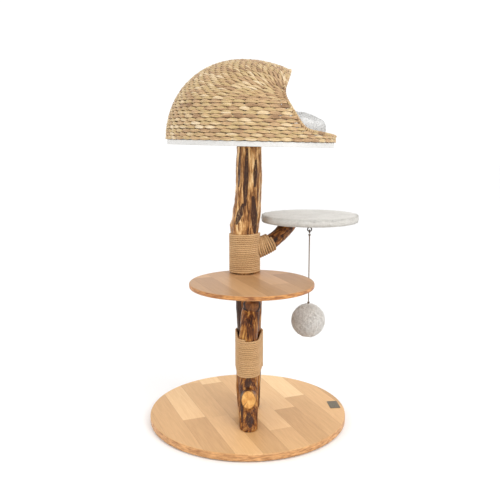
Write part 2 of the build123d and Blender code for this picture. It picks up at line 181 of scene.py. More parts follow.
def pattern_space(tree, size, at=(0, 0, 0), turn=(0, 0, 0), source=None):
    """Coordinates in which one blotch of a pattern has this size in metres."""
    if source is None:
        source = add_node(tree, "TexCoord").outputs["Object"]
    turned = tuple(math.radians(angle) for angle in turn)
    inputs = {"Vector": source, "Location": at, "Rotation": turned, "Scale": size}
    return add_node(tree, "Mapping", inputs, vector_type="TEXTURE").outputs[0]


def space_of(tree, source, size):
    return pattern_space(tree, (size, size, size), source=source)


def blotches(tree, space, detail=3, roughness=0.55, wander=0.0):
    inputs = {"Vector": space, "Scale": 1, "Detail": detail, "Roughness": roughness, "Distortion": wander}
    return add_node(tree, "TexNoise", inputs).outputs["Fac"]


def calc(tree, how, *values):
    return add_node(tree, "Math", dict(enumerate(values)), operation=how).outputs[0]


def weigh(tree, *pairs):
    """Patterns added up, each times its weight."""
    parts = [calc(tree, "MULTIPLY", pattern, weight) for pattern, weight in pairs]
    total = parts[0]
    for part in parts[1:]:
        total = calc(tree, "ADD", total, part)
    return total


def shade_by(tree, amount, stops):
    """A colour for each value of a pattern, from a few stops."""
    ramp = add_node(tree, "ValToRGB", {"Fac": amount})
    elements = ramp.color_ramp.elements
    for element, (place, colour) in zip((elements[0], elements[1]), (stops[0], stops[-1])):
        element.position = place
        element.color = (*colour, 1)
    for place, colour in stops[1:-1]:
        elements.new(place).color = (*colour, 1)
    return ramp.outputs["Color"]


def mask_by(tree, amount, dark_at, light_at):
    """A value that goes from 0 to 1 between two values of a pattern."""
    inputs = {"Value": amount, "From Min": dark_at, "From Max": light_at}
    return add_node(tree, "MapRange", inputs, interpolation_type="SMOOTHSTEP").outputs[0]


def mix(tree, amount, first, second, how="MIX"):
    node = add_node(tree, "Mix", data_type="RGBA", blend_type=how)
    for index, value in ((0, amount), (6, first), (7, second)):
        if isinstance(value, bpy.types.NodeSocket):
            tree.links.new(value, node.inputs[index])
        elif isinstance(value, tuple):
            node.inputs[index].default_value = (*value, 1)
        else:
            node.inputs[index].default_value = value
    return node.outputs[2]


def relief(tree, shader, height, depth):
    bump = add_node(tree, "Bump", {"Height": height, "Distance": depth, "Strength": 1})
    tree.links.new(bump.outputs["Normal"], shader.inputs["Normal"])


def colour_with(tree, shader, colour):
    tree.links.new(colour, shader.inputs["Base Color"])


# %% [markdown]
# ## Board finish
# The base and the platform are glued up from narrow staves, sanded and varnished. Each stave has its own
# tone, the joints are thin darker lines, and the sawn edges are more orange, because end grain drinks
# the varnish. The stave that a point is on comes from its place across the board, cut to whole numbers.

# %% Board finish
def board_finish(name, turn, stave_width, tones, edge_tones):
    finish, tree, shader = new_finish(name, Roughness=0.45, Specular_IOR_Level=0.35,
                                      Coat_Weight=0.12, Coat_Roughness=0.2)
    stave_length = 0.27
    turned = pattern_space(tree, (1, 1, 1), turn=(0, 0, turn))
    split = add_node(tree, "SeparateXYZ", {"Vector": turned})
    across, along = split.outputs["X"], split.outputs["Y"]
    stave = calc(tree, "FLOOR", calc(tree, "DIVIDE", across, stave_width))
    shift = add_node(tree, "TexWhiteNoise", {"W": stave}, noise_dimensions="1D").outputs["Value"]
    length_place = calc(tree, "ADD", calc(tree, "DIVIDE", along, stave_length), shift)
    block = add_node(tree, "CombineXYZ", {"X": stave, "Y": calc(tree, "FLOOR", length_place)})
    block_noise = add_node(tree, "TexWhiteNoise", {"Vector": block.outputs[0]}, noise_dimensions="3D")
    tone = block_noise.outputs["Value"]
    grain_shift = add_node(tree, "CombineXYZ", {"Z": calc(tree, "MULTIPLY", tone, 0.7)})
    moved = add_node(tree, "VectorMath", {0: turned, 1: grain_shift.outputs[0]}, operation="ADD").outputs[0]
    grain = blotches(tree, pattern_space(tree, (0.005, 0.075, 0.03), source=moved), 5, 0.6, 0.6)
    fine = blotches(tree, pattern_space(tree, (0.0012, 0.03, 0.01), source=moved), 3, 0.6)
    both = weigh(tree, (tone, 0.6), (grain, 0.4))
    face = shade_by(tree, both, [(0.15, tones[0]), (0.5, tones[1]), (0.85, tones[2])])
    face = mix(tree, calc(tree, "MULTIPLY", mask_by(tree, fine, 0.52, 0.75), 0.22), face, edge_tones[0])
    joint = calc(tree, "PINGPONG", across, stave_width / 2)
    joint_line = mask_by(tree, joint, 0.0009, 0.0001)
    face = mix(tree, calc(tree, "MULTIPLY", joint_line, 0.38), face, edge_tones[1])
    streaks = blotches(tree, pattern_space(tree, (0.02, 0.02, 0.004)), 4, 0.6)
    edge = shade_by(tree, streaks, [(0.35, edge_tones[1]), (0.65, edge_tones[0])])
    facing = add_node(tree, "SeparateXYZ", {"Vector": add_node(tree, "NewGeometry").outputs["Normal"]})
    upright = mask_by(tree, calc(tree, "ABSOLUTE", facing.outputs["Z"]), 0.85, 0.45)
    colour_with(tree, shader, mix(tree, upright, face, edge))
    relief(tree, shader, calc(tree, "SUBTRACT", grain, joint_line), 0.0003)
    return finish


base_finish = board_finish("base_staves", 22, 0.066,
                           [(0.54, 0.30, 0.12), (0.76, 0.46, 0.21), (0.95, 0.66, 0.35)],
                           [(0.72, 0.38, 0.15), (0.36, 0.16, 0.055)])
platform_finish = board_finish("platform_staves", 22, 0.055,
                               [(0.39, 0.21, 0.09), (0.53, 0.30, 0.14), (0.68, 0.41, 0.21)],
                               [(0.62, 0.28, 0.08), (0.24, 0.08, 0.022)])
print("board finishes", base_finish.name, platform_finish.name)

# %% [markdown]
# ## Log finish
# Debarked wood keeps long streaks where the bark's colour went in, and dark scars. The streaks are a
# noise that is drawn out along the log. The scars that matter are marked on the mesh, as an attribute
# named scar, when each log is made.

# %% Log finish
def log_finish(name, tones, scar_tone, shine, streak_size=(0.0075, 0.0075, 0.11), turn=(0, 0, 0)):
    finish, tree, shader = new_finish(name, Roughness=shine, Specular_IOR_Level=0.15,
                                      Coat_Weight=0.12, Coat_Roughness=0.15)
    long_streaks = blotches(tree, pattern_space(tree, streak_size, turn=turn), 5, 0.62, 0.8)
    fine_size = tuple(side * 0.22 for side in streak_size)
    fine_streaks = blotches(tree, pattern_space(tree, fine_size, turn=turn), 4, 0.65, 0.3)
    patches = blotches(tree, pattern_space(tree, (0.03, 0.03, 0.06), turn=turn), 3, 0.5, 1.0)
    weighted = weigh(tree, (long_streaks, 0.55), (fine_streaks, 0.20), (patches, 0.25))
    wood = shade_by(tree, weighted, list(zip((0.415, 0.47, 0.525, 0.595), tones)))
    scar = add_node(tree, "Attribute", attribute_name="scar").outputs["Fac"]
    ragged = calc(tree, "ADD", scar, calc(tree, "MULTIPLY", calc(tree, "SUBTRACT", long_streaks, 0.5), 0.8))
    ragged = calc(tree, "MULTIPLY", mask_by(tree, ragged, 0.28, 0.52), mask_by(tree, scar, 0.05, 0.25))
    covered = calc(tree, "MULTIPLY", ragged, mask_by(tree, fine_streaks, 0.80, 0.50))
    colour_with(tree, shader, mix(tree, covered, wood, scar_tone))
    height = calc(tree, "SUBTRACT", fine_streaks, calc(tree, "MULTIPLY", ragged, 0.6))
    relief(tree, shader, height, 0.0006)
    return finish


lower_tones = [(0.036, 0.010, 0.002), (0.14, 0.040, 0.007), (0.29, 0.105, 0.018), (0.60, 0.31, 0.08)]
upper_tones = [(0.060, 0.020, 0.006), (0.27, 0.11, 0.032), (0.57, 0.30, 0.105), (0.92, 0.64, 0.32)]
bark_tones = [(0.020, 0.007, 0.003), (0.075, 0.024, 0.007), (0.20, 0.072, 0.017), (0.52, 0.22, 0.055)]
lower_log_finish = log_finish("lower_log_wood", lower_tones, (0.035, 0.012, 0.005), 0.38)
stem_finish = log_finish("front_stem_wood", lower_tones, (0.05, 0.018, 0.009), 0.38)
upper_log_finish = log_finish("upper_log_wood", upper_tones, (0.05, 0.019, 0.009), 0.36)
branch_finish = log_finish("branch_wood", bark_tones, (0.018, 0.007, 0.004), 0.45,
                           (0.075, 0.006, 0.006), (0, -38, 0))
print("log finishes made")

# %% [markdown]
# ## Sawn twig finish
# The sawn face of the twig shows rings round its heart and small drying cracks that run outwards.

# %% Sawn face finish
def sawn_finish(name, centre, tilt, tones, crack_tone, reach):
    """Rings and cracks round a heart; past reach from it the wood is as dark as its cracks."""
    finish, tree, shader = new_finish(name, Roughness=0.5, Specular_IOR_Level=0.3)
    space = pattern_space(tree, (1, 1, 1), at=tuple(centre), turn=(90 - tilt, 0, 0))
    split = add_node(tree, "SeparateXYZ", {"Vector": space})
    across, up = split.outputs["X"], split.outputs["Y"]
    flat = add_node(tree, "CombineXYZ", {"X": across, "Y": calc(tree, "MULTIPLY", up, 0.8)}).outputs[0]
    far = add_node(tree, "VectorMath", {0: flat}, operation="LENGTH").outputs["Value"]
    wavy = calc(tree, "ADD", far, calc(tree, "MULTIPLY", blotches(tree, space_of(tree, flat, 0.02)), 0.006))
    rings = calc(tree, "SINE", calc(tree, "MULTIPLY", wavy, 2600))
    angle = calc(tree, "ARCTAN2", up, across)
    spokes = add_node(tree, "CombineXYZ", {"X": calc(tree, "COSINE", angle), "Y": calc(tree, "SINE", angle)})
    rays = blotches(tree, space_of(tree, spokes.outputs[0], 0.12), 4, 0.6)
    cracks = calc(tree, "MULTIPLY", mask_by(tree, rays, 0.60, 0.68), mask_by(tree, far, 0.002, 0.008))
    tone = shade_by(tree, blotches(tree, space_of(tree, flat, 0.014), 4), [
        (0.35, tones[0]), (0.5, tones[1]), (0.65, tones[2])])
    ringed = mix(tree, calc(tree, "MULTIPLY", mask_by(tree, rings, 0.2, 1.0), 0.45), tone, tones[0])
    cracked = mix(tree, calc(tree, "MULTIPLY", cracks, 0.75), ringed, crack_tone)
    rim = mask_by(tree, far, 0.82 * reach, 1.02 * reach)
    colour_with(tree, shader, mix(tree, rim, cracked, crack_tone))
    relief(tree, shader, calc(tree, "SUBTRACT", rings, calc(tree, "MULTIPLY", cracks, 3)), 0.0002)
    return finish


# %% [markdown]
# ## Strand finishes
# Rope and woven grass carry an attribute named lie: how far along the strand a point is, how far round
# it, and which strand it is on. Fibres are a noise drawn out along the strand. A second attribute, tint,
# gives each stitch its own tone, as each blade of grass has.

# %% Strand finishes
def strand_finish(name, tones, fibre_tone, fibre_depth, roughness):
    finish, tree, shader = new_finish(name, Roughness=roughness, Sheen_Weight=0.12, Sheen_Roughness=0.6)
    lie = add_node(tree, "Attribute", attribute_name="lie").outputs["Vector"]
    tint = add_node(tree, "Attribute", attribute_name="tint").outputs["Fac"]
    fibres = blotches(tree, pattern_space(tree, (0.016, 0.055, 0.3), source=lie), 4, 0.65)
    smudges = blotches(tree, pattern_space(tree, (0.035, 0.035, 0.035)), 3, 0.55)
    colour = shade_by(tree, weigh(tree, (tint, 0.62), (smudges, 0.38)), tones)
    dark_fibres = calc(tree, "MULTIPLY", mask_by(tree, fibres, 0.56, 0.36), 0.5)
    colour_with(tree, shader, mix(tree, dark_fibres, colour, fibre_tone))
    relief(tree, shader, fibres, fibre_depth)
    return finish


grass_finish = strand_finish("woven_grass", [
    (0.24, (0.30, 0.165, 0.075)), (0.34, (0.47, 0.29, 0.145)), (0.44, (0.62, 0.41, 0.21)),
    (0.53, (0.56, 0.40, 0.175)), (0.64, (0.74, 0.55, 0.31)), (0.80, (0.90, 0.75, 0.53))],
    (0.16, 0.08, 0.03), 0.0006, 0.62)
stake_finish = strand_finish("basket_stakes", [(0.2, (0.20, 0.12, 0.06)), (0.8, (0.40, 0.27, 0.15))],
                             (0.10, 0.05, 0.02), 0.0004, 0.7)
jute_finish = strand_finish("jute_rope", [
    (0.15, (0.49, 0.285, 0.12)), (0.5, (0.63, 0.385, 0.175)), (0.85, (0.75, 0.49, 0.25))],
    (0.32, 0.165, 0.06), 0.0004, 0.8)
cord_finish = strand_finish("toy_cord_fibre", [(0.2, (0.12, 0.085, 0.06)), (0.8, (0.26, 0.19, 0.14))],
                            (0.05, 0.035, 0.025), 0.0002, 0.85)
print("strand finishes made")

# %% [markdown]
# ## The cord's own finish
# The curve has no attribute to follow, so its twist is worked out from the angle round its own line and
# the height: the two together make a slanting thread.

# %% Twisted cord finish
def twisted_finish(name, centre, lay, light, dark):
    finish, tree, shader = new_finish(name, Roughness=0.85, Sheen_Weight=0.2, Sheen_Roughness=0.5)
    split = add_node(tree, "SeparateXYZ", {"Vector": pattern_space(tree, (1, 1, 1), at=tuple(centre))})
    angle = calc(tree, "ARCTAN2", split.outputs["Y"], split.outputs["X"])
    rise = calc(tree, "MULTIPLY", split.outputs["Z"], 2 * math.pi / lay)
    thread = calc(tree, "SINE", calc(tree, "ADD", calc(tree, "MULTIPLY", angle, 2), rise))
    fuzz = blotches(tree, pattern_space(tree, (0.0012, 0.0012, 0.004)), 3)
    amount = calc(tree, "ADD", calc(tree, "MULTIPLY", thread, 0.28), fuzz)
    colour_with(tree, shader, shade_by(tree, amount, [(0.25, dark), (0.75, light)]))
    relief(tree, shader, amount, 0.0006)
    return finish


ball_cord.data.materials.append(
    twisted_finish("ball_cord_twist", string_middle, 0.009, (0.40, 0.31, 0.24), (0.14, 0.10, 0.075)))

# %% [markdown]
# ## Plush, felt, foam, painted board and metal
# Plush is nearly white, with soft warm shadows between its tufts and a sheen that stands for the light
# caught by the pile's ends. The other finishes are small variations on noise at their own scale.

# %% Soft and metal finishes
def speckled_finish(name, light, dark, size, depth, **shader_values):
    finish, tree, shader = new_finish(name, **shader_values)
    fine = blotches(tree, pattern_space(tree, size), 4, 0.6)
    broad = blotches(tree, pattern_space(tree, tuple(12 * side for side in size)), 2, 0.5)
    amount = weigh(tree, (fine, 0.6), (broad, 0.4))
    colour_with(tree, shader, shade_by(tree, amount, [(0.36, dark), (0.62, light)]))
    relief(tree, shader, fine, depth)
    return finish


plush_finish = speckled_finish("cream_plush", (0.67, 0.65, 0.61), (0.53, 0.51, 0.47), (0.004, 0.004, 0.004),
                               0.0008, Roughness=0.95, Sheen_Weight=0.25, Sheen_Roughness=0.4)
white_plush_finish = speckled_finish("white_plush", (0.68, 0.675, 0.665), (0.58, 0.575, 0.56),
                                     (0.005, 0.005, 0.005), 0.0008,
                                     Roughness=0.95, Sheen_Weight=0.35, Sheen_Roughness=0.4)
ball_finish = speckled_finish("ball_plush", (0.96, 0.935, 0.90), (0.80, 0.76, 0.70), (0.004, 0.004, 0.004),
                              0.0008, Roughness=0.95, Sheen_Weight=0.3, Sheen_Roughness=0.4)
felt_finish = speckled_finish("pad_felt", (0.14, 0.13, 0.12), (0.07, 0.065, 0.06), (0.0015, 0.0015, 0.0015),
                              0.0004, Roughness=0.95)
foam_finish = speckled_finish("cream_foam", (0.70, 0.64, 0.48), (0.55, 0.48, 0.34), (0.001, 0.001, 0.001),
                              0.0004, Roughness=0.9)
white_board_finish = speckled_finish("white_board", (0.70, 0.69, 0.67), (0.56, 0.55, 0.53),
                                     (0.004, 0.03, 0.002), 0.0002, Roughness=0.5)
plywood_finish = speckled_finish("plywood", (0.58, 0.42, 0.25), (0.42, 0.28, 0.15), (0.003, 0.05, 0.001),
                                 0.0002, Roughness=0.6)
zinc_finish = speckled_finish("zinc_steel", (0.62, 0.62, 0.60), (0.42, 0.42, 0.41), (0.0008, 0.0008, 0.004),
                              0.0001, Metallic=1.0, Roughness=0.36)
dark_steel_finish = speckled_finish("dark_steel", (0.075, 0.068, 0.06), (0.03, 0.028, 0.025),
                                    (0.0015, 0.0015, 0.0015), 0.0001, Metallic=0.6, Roughness=0.4)
plate_finish = speckled_finish("brushed_plate", (0.21, 0.175, 0.12), (0.11, 0.09, 0.06),
                               (0.0006, 0.012, 0.002), 0.0001, Metallic=0.7, Roughness=0.42)

# %% Finishes on the pieces that keep their own shape
kept_finishes = {
    "base_board": base_finish, "mid_platform": platform_finish, "felt_pads": felt_finish,
    "label_plate": plate_finish, "perch_board": plywood_finish, "perch_pad": foam_finish,
    "toy_core": foam_finish, "toy_loop": cord_finish, "basket_floor": white_board_finish,
    "basket_frame": dark_steel_finish, "screw_eye": dark_steel_finish,
}
metal_parts = ["base_lag_screws", "base_washers", "stem_screw", "platform_stud", "platform_screws",
               "arm_lag_screw", "arm_washer", "perch_screws", "basket_lag_screw", "basket_washer",
               "basket_screws"]
kept_finishes.update({name: zinc_finish for name in metal_parts})
for name, finish in kept_finishes.items():
    for slot in nodes[name].material_slots:
        slot.material = finish
print("kept pieces finished", len(kept_finishes))

# %% [markdown]
# ## Logs
# Each log starts as a circle at its foot. The circle is drawn up ring by ring to the girth that the
# frame has at each height, as a pole is turned. A voxel remesh then gives an even skin that can take
# knots, and displacement gives it the long swells and the fibres of real wood.

# %% Measuring a log in the frame
def skin_of(name):
    mesh = nodes[name].data
    corners = [vertex.co for vertex in mesh.vertices]
    return BVHTree.FromPolygons(corners, [polygon.vertices for polygon in mesh.polygons])


def girth(skin, height, back_y, guess_x, radius):
    """The middle and radius of an upright log at a height, from a guess and rays from three sides."""
    far = 1.0
    for _ in range(3):
        back = skin.ray_cast(Vector((guess_x, back_y, height)), Vector((0, -1, 0)))[0]
        middle_y = back.y - 0.7 * radius
        left = skin.ray_cast(Vector((-far, middle_y, height)), Vector((1, 0, 0)))[0]
        right = skin.ray_cast(Vector((far, middle_y, height)), Vector((-1, 0, 0)))[0]
        radius = (right.x - left.x) / 2 / math.sqrt(1 - 0.3 ** 2)
        guess_x = (right.x + left.x) / 2
    return guess_x, back.y - radius, radius


def rings_up(name, spacing, slant=0.0004):
    """Rings of a log from its foot to its top; a slanted top is measured below its slant."""
    low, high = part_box(name)
    count = round((high.z - low.z) / spacing)
    skin = skin_of(name)
    rings = []
    x, radius = middle_of(name).x, (high.x - low.x) / 2
    for step in range(count + 1):
        height = low.z + slant + (high.z - low.z - 2 * slant) * step / count
        x, y, radius = girth(skin, height, high.y + 0.1, x, radius)
        rings.append((height, x, y, radius))
    return rings


# %% Drawing up a log
def draw_log(name, rings, sides=40):
    """Extrudes a circle from ring to ring, each given as height, x, y and radius."""
    start_fresh()
    height, x, y, radius = rings[0]
    bpy.ops.mesh.primitive_circle_add(vertices=sides, radius=radius, fill_type="NGON",
                                      location=(x, y, height))
    log = bpy.context.object
    log.name = name
    bpy.ops.object.mode_set(mode="EDIT")
    bpy.ops.mesh.select_all(action="SELECT")
    for below, above in zip(rings, rings[1:]):
        step = (above[1] - below[1], above[2] - below[2], above[0] - below[0])
        bpy.ops.mesh.extrude_region_move(TRANSFORM_OT_translate={"value": step})
        share = above[3] / below[3]
        bpy.ops.transform.resize(value=(share, share, share), center_override=(above[1], above[2], above[0]))
    bpy.ops.mesh.select_all(action="SELECT")
    bpy.ops.mesh.normals_make_consistent(inside=False)
    bpy.ops.object.mode_set(mode="OBJECT")
    return log


def weather(log, voxel, swell, fibre, stretch, turn=(0, 0, 0)):
    """Remeshes a log evenly, then raises long swells and fine fibres that run along it."""
    apply_all(log)
    remesh = log.modifiers.new("even_skin", "REMESH")
    remesh.mode = "VOXEL"
    remesh.voxel_size = voxel
    smooth = log.modifiers.new("soften", "SMOOTH")
    smooth.iterations = 4
    guides = []
    for label, size, strength in (("swells", 0.022, swell), ("fibres", 0.005, fibre)):
        guide = bpy.data.objects.new(label + "_guide", None)
        guide.scale = (size, size, size * stretch)
        guide.rotation_euler = tuple(math.radians(angle) for angle in turn)
        bpy.context.collection.objects.link(guide)
        texture = bpy.data.textures.new(log.name + "_" + label, "CLOUDS")
        texture.noise_scale = 1.0
        texture.noise_depth = 2
        displace = log.modifiers.new(label, "DISPLACE")
        displace.texture = texture
        displace.texture_coords = "OBJECT"
        displace.texture_coords_object = guide
        displace.mid_level = 0.5
        displace.strength = strength
        guides.append(guide)
    bpy.context.view_layer.update()
    apply_all(log)
    for guide in guides:
        bpy.data.objects.remove(guide)
    return log


def mark_scars(log, scars):
    """Writes the scar attribute. A scar is a streak on the front of a log from one place to another,
    each an (x, z) in metres, with its half width; it fades round its edge and stays on its side."""
    count = len(log.data.vertices)
    places = np.zeros(3 * count)
    log.data.vertices.foreach_get("co", places)
    places = places.reshape(count, 3)
    values = np.zeros(count)
    middle_y = (places[:, 1].min() + places[:, 1].max()) / 2
    for (x_low, z_low), (x_high, z_high), half_width in scars:
        run = np.array([x_high - x_low, z_high - z_low])
        offset = places[:, [0, 2]] - np.array([x_low, z_low])
        share = np.clip(offset @ run / (run @ run), 0, 1)
        away = np.linalg.norm(offset - share[:, None] * run, axis=1)
        narrowing = half_width * (1.15 - 0.6 * np.abs(2 * share - 1))
        value = np.exp(-(away / narrowing) ** 2) * (places[:, 1] < middle_y)
        values = np.maximum(values, value)
    attribute = log.data.attributes.new("scar", "FLOAT", "POINT")
    attribute.data.foreach_set("value", values)
    return values


# %% Lower log
base_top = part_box("base_board")[1].z
platform_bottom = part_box("mid_platform")[0].z
platform_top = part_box("mid_platform")[1].z
lower_log = draw_log("lower_log", rings_up("lower_trunk", 0.013))
weather(lower_log, 0.0021, 0.006, 0.0016, 6)
mark_scars(lower_log, [
    ((-0.028, platform_bottom - 0.16), (-0.030, platform_bottom - 0.02), 0.012),
    ((0.006, platform_bottom - 0.15), (0.010, platform_bottom - 0.05), 0.006),
    ((0.024, platform_bottom - 0.15), (0.020, platform_bottom - 0.02), 0.004),
])
settle(lower_log, lower_log_finish)
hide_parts("lower_trunk")

# %% [markdown]
# ## The front stem
# The thinner stem leans against the trunk, ends in a rounded knot, and carries a sawn-off twig that
# points forwards. Twig and stem are drawn apart and joined, and the remesh grows them together.

# %% Front stem
stem_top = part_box("front_stem")[1].z
stem_rings = rings_up("front_stem", 0.012)
front_log = draw_log("front_log", stem_rings[:-1])
twig_tilt = 15
twig_half_width, twig_half_height = 0.0195, 0.0255
twig_out = Vector((0, -math.cos(math.radians(twig_tilt)), math.sin(math.radians(twig_tilt))))
twig_reach = 0.046
twig_height = base_top + 0.072
twig_ring = min(stem_rings, key=lambda ring: abs(ring[0] - twig_height))
twig_root = Vector((twig_ring[1], twig_ring[2], twig_height))
twig_face = twig_root + twig_out * twig_reach
start_fresh()
bpy.ops.mesh.primitive_circle_add(vertices=32, radius=1, fill_type="NGON", location=twig_root,
                                  rotation=(math.radians(90 - twig_tilt), 0, 0))
twig = bpy.context.object
twig_narrowing, twig_straight = 0.8, 0.72
twig.scale = (twig_half_width / twig_narrowing, twig_half_height / twig_narrowing, 1)
bpy.ops.object.transform_apply(location=True, rotation=True, scale=True)
bpy.ops.object.mode_set(mode="EDIT")
bpy.ops.mesh.select_all(action="SELECT")
bpy.ops.mesh.extrude_region_move(TRANSFORM_OT_translate={"value": twig_out * (twig_reach * twig_straight)})
bpy.ops.transform.resize(value=(twig_narrowing,) * 3,
                         center_override=twig_root + twig_out * (twig_reach * twig_straight))
bpy.ops.mesh.extrude_region_move(
    TRANSFORM_OT_translate={"value": twig_out * (twig_reach * (1 - twig_straight))})
bpy.ops.mesh.select_all(action="SELECT")
bpy.ops.mesh.normals_make_consistent(inside=False)
bpy.ops.object.mode_set(mode="OBJECT")

# %% The knot at the stem's end
knot_radius = 0.0245
knot_tilt = 30
knot_out = Vector((0, -math.cos(math.radians(knot_tilt)), math.sin(math.radians(knot_tilt))))
knot_middle = Vector((stem_rings[-2][1], stem_rings[-3][2] - 0.001, stem_top - 0.0225))
start_fresh()
bpy.ops.mesh.primitive_ico_sphere_add(subdivisions=4, radius=knot_radius, location=knot_middle)
knot = bpy.context.object
knot.scale = (1.04, 0.98, 0.92)
pick(front_log, twig, knot)
bpy.ops.object.join()
weather(front_log, 0.0019, 0.005, 0.0014, 6)
print("front stem with its twig and knot", len(front_log.data.polygons))

# %% Finishing the front stem
stem_x = stem_rings[0][1]
mark_scars(front_log, [
    ((stem_x - 0.006, twig_height + 0.075), (stem_x + 0.002, twig_height + 0.12), 0.006),
    ((stem_x - 0.004, twig_height + 0.032), (stem_x + 0.002, twig_height + 0.06), 0.009),
    ((stem_x + 0.004, twig_height - 0.055), (stem_x, twig_height - 0.03), 0.010),
    ((stem_x - 0.018, twig_height - 0.05), (stem_x - 0.02, twig_height + 0.05), 0.004),
])
front_log.data.materials.append(stem_finish)
front_log.data.materials.append(sawn_finish(
    "sawn_twig_face", twig_face, twig_tilt, [(0.52, 0.22, 0.05), (0.72, 0.36, 0.095), (0.88, 0.52, 0.17)],
    (0.13, 0.045, 0.012), 0.020))
front_log.data.materials.append(sawn_finish(
    "ringed_knot", knot_middle, knot_tilt, [(0.08, 0.025, 0.008), (0.20, 0.072, 0.020), (0.36, 0.15, 0.045)],
    (0.028, 0.009, 0.004), 0.020))
for polygon in front_log.data.polygons:
    on_face = (polygon.center - twig_face).dot(twig_out) > -0.0022
    if on_face and polygon.normal.dot(twig_out) > 0.6:
        polygon.material_index = 1
    if (polygon.center - knot_middle).length < knot_radius * 1.08 and polygon.normal.dot(knot_out) > 0.35:
        polygon.material_index = 2
settle(front_log, stem_finish)
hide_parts("front_stem")

# %% Upper log
upper_log = draw_log("upper_log", rings_up("upper_trunk", 0.012, slant=0.0018))
weather(upper_log, 0.0021, 0.0095, 0.0018, 3)
wrap_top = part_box("upper_jute_wrap")[1].z
trunk_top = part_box("upper_trunk")[1].z
trunk_x = middle_of("upper_jute_wrap").x
mark_scars(upper_log, [
    ((trunk_x - 0.022, wrap_top + 0.030), (trunk_x - 0.004, wrap_top + 0.080), 0.0075),
    ((trunk_x + 0.002, wrap_top + 0.080), (trunk_x + 0.007, trunk_top - 0.01), 0.0062),
    ((trunk_x + 0.028, wrap_top + 0.004), (trunk_x + 0.024, wrap_top + 0.10), 0.0085),
    ((trunk_x + 0.028, wrap_top + 0.13), (trunk_x + 0.031, wrap_top + 0.20), 0.0050),
    ((trunk_x - 0.016, wrap_top + 0.13), (trunk_x - 0.012, wrap_top + 0.22), 0.0035),
])
settle(upper_log, upper_log_finish)
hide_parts("upper_trunk")

# %% [markdown]
# ## The branch arm
# The arm leaves the trunk nearly level and bends up under the perch. It is a curve through a few points
# of its route, with the girth that the frame has, made into a mesh so that it can be weathered too.

# %% Branch arm
perch_middle = middle_of("perch_board")
board_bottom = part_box("perch_board")[0].z
arm_radius = 0.0215
contact_gap = 0.0003
arm_root = Vector((trunk_x, middle_of("upper_jute_wrap").y, platform_top + 0.065))
arm_top = Vector((perch_middle.x - 0.057, perch_middle.y - 0.0147, board_bottom))
arm_bearing, arm_rise = math.radians(14), math.radians(7)
arm_heading = Vector((math.cos(arm_rise) * math.cos(arm_bearing),
                      math.cos(arm_rise) * math.sin(arm_bearing), math.sin(arm_rise)))
way = arm_top - arm_root
first_bend = arm_root + Vector((0.56 * way.x, 0.40 * way.y, 0.26 * way.z))
second_bend = arm_root + Vector((0.80 * way.x, 0.69 * way.y, 0.58 * way.z))
arm_route = [arm_root + arm_heading * 0.026, arm_root + arm_heading * 0.04, first_bend, second_bend,
             arm_top + (second_bend - arm_top) * 0.02]


def route_curve(route, count):
    """Evenly placed points on a smooth line through a route's points."""
    curve = bpy.data.curves.new("route", "CURVE")
    curve.dimensions = "3D"
    curve.resolution_u = 24
    bezier = curve.splines.new("BEZIER")
    bezier.bezier_points.add(len(route) - 1)
    for point, place in zip(bezier.bezier_points, route):
        point.co = place
        point.handle_left_type = point.handle_right_type = "AUTO"
    holder = bpy.data.objects.new("route", curve)
    bpy.context.collection.objects.link(holder)
    bpy.context.view_layer.update()
    line = bpy.data.meshes.new_from_object(holder)
    places = np.array([vertex.co for vertex in line.vertices])
    bpy.data.objects.remove(holder)
    return even_points(places, count)


def even_points(places, count):
    """Points at equal distances along a line of points."""
    along = distances(places)
    return read_along(places, along, np.linspace(0, along[-1], count))


arm_line = route_curve(arm_route, 15)
start_fresh()
heading = Vector(arm_line[1] - arm_line[0]).normalized()
bpy.ops.mesh.primitive_circle_add(vertices=36, radius=arm_radius, fill_type="NGON", location=arm_line[0],
                                  rotation=heading.to_track_quat("Z", "Y").to_euler())
branch = bpy.context.object
branch.name = "branch_log"
bpy.ops.object.mode_set(mode="EDIT")
bpy.ops.mesh.select_all(action="SELECT")
for before, here, after in zip(arm_line, arm_line[1:], [*arm_line[2:], arm_line[-1] + (0, 0, 0.01)]):
    bpy.ops.mesh.extrude_region_move(TRANSFORM_OT_translate={"value": here - before})
    new_heading = Vector(after - before).normalized()
    turn = heading.rotation_difference(new_heading)
    if turn.angle > 0.001:
        rotate = Matrix.Translation(here) @ turn.to_matrix().to_4x4() @ Matrix.Translation(-Vector(here))
        bpy.ops.object.mode_set(mode="OBJECT")
        for vertex in branch.data.vertices:
            if vertex.select:
                vertex.co = branch.matrix_world.inverted() @ (rotate @ (branch.matrix_world @ vertex.co))
        bpy.ops.object.mode_set(mode="EDIT")
    heading = new_heading
bpy.ops.mesh.select_all(action="SELECT")
bpy.ops.mesh.normals_make_consistent(inside=False)
bpy.ops.object.mode_set(mode="OBJECT")
weather(branch, 0.0016, 0.0045, 0.0016, 3, (0, 90, 20))
for vertex in branch.data.vertices:
    vertex.co.z = min(vertex.co.z, board_bottom - contact_gap)
mark_scars(branch, [
    ((arm_root.x + 0.05, arm_root.z - 0.005), (arm_root.x + 0.09, arm_root.z + 0.03), 0.006),
])
settle(branch, branch_finish)
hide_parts("branch_arm")

# %% [markdown]
# ## Strands
# Rope, grass and whipping are all strands: a line of points, a direction that says which way is out, and
# a section that may be flat, round or lobed. One helper turns many strands into one mesh, and writes the
# attributes that the strand finishes read. Mesh code does this, because a weave of thousands of stitches
# has to follow a formula that no modifier has.

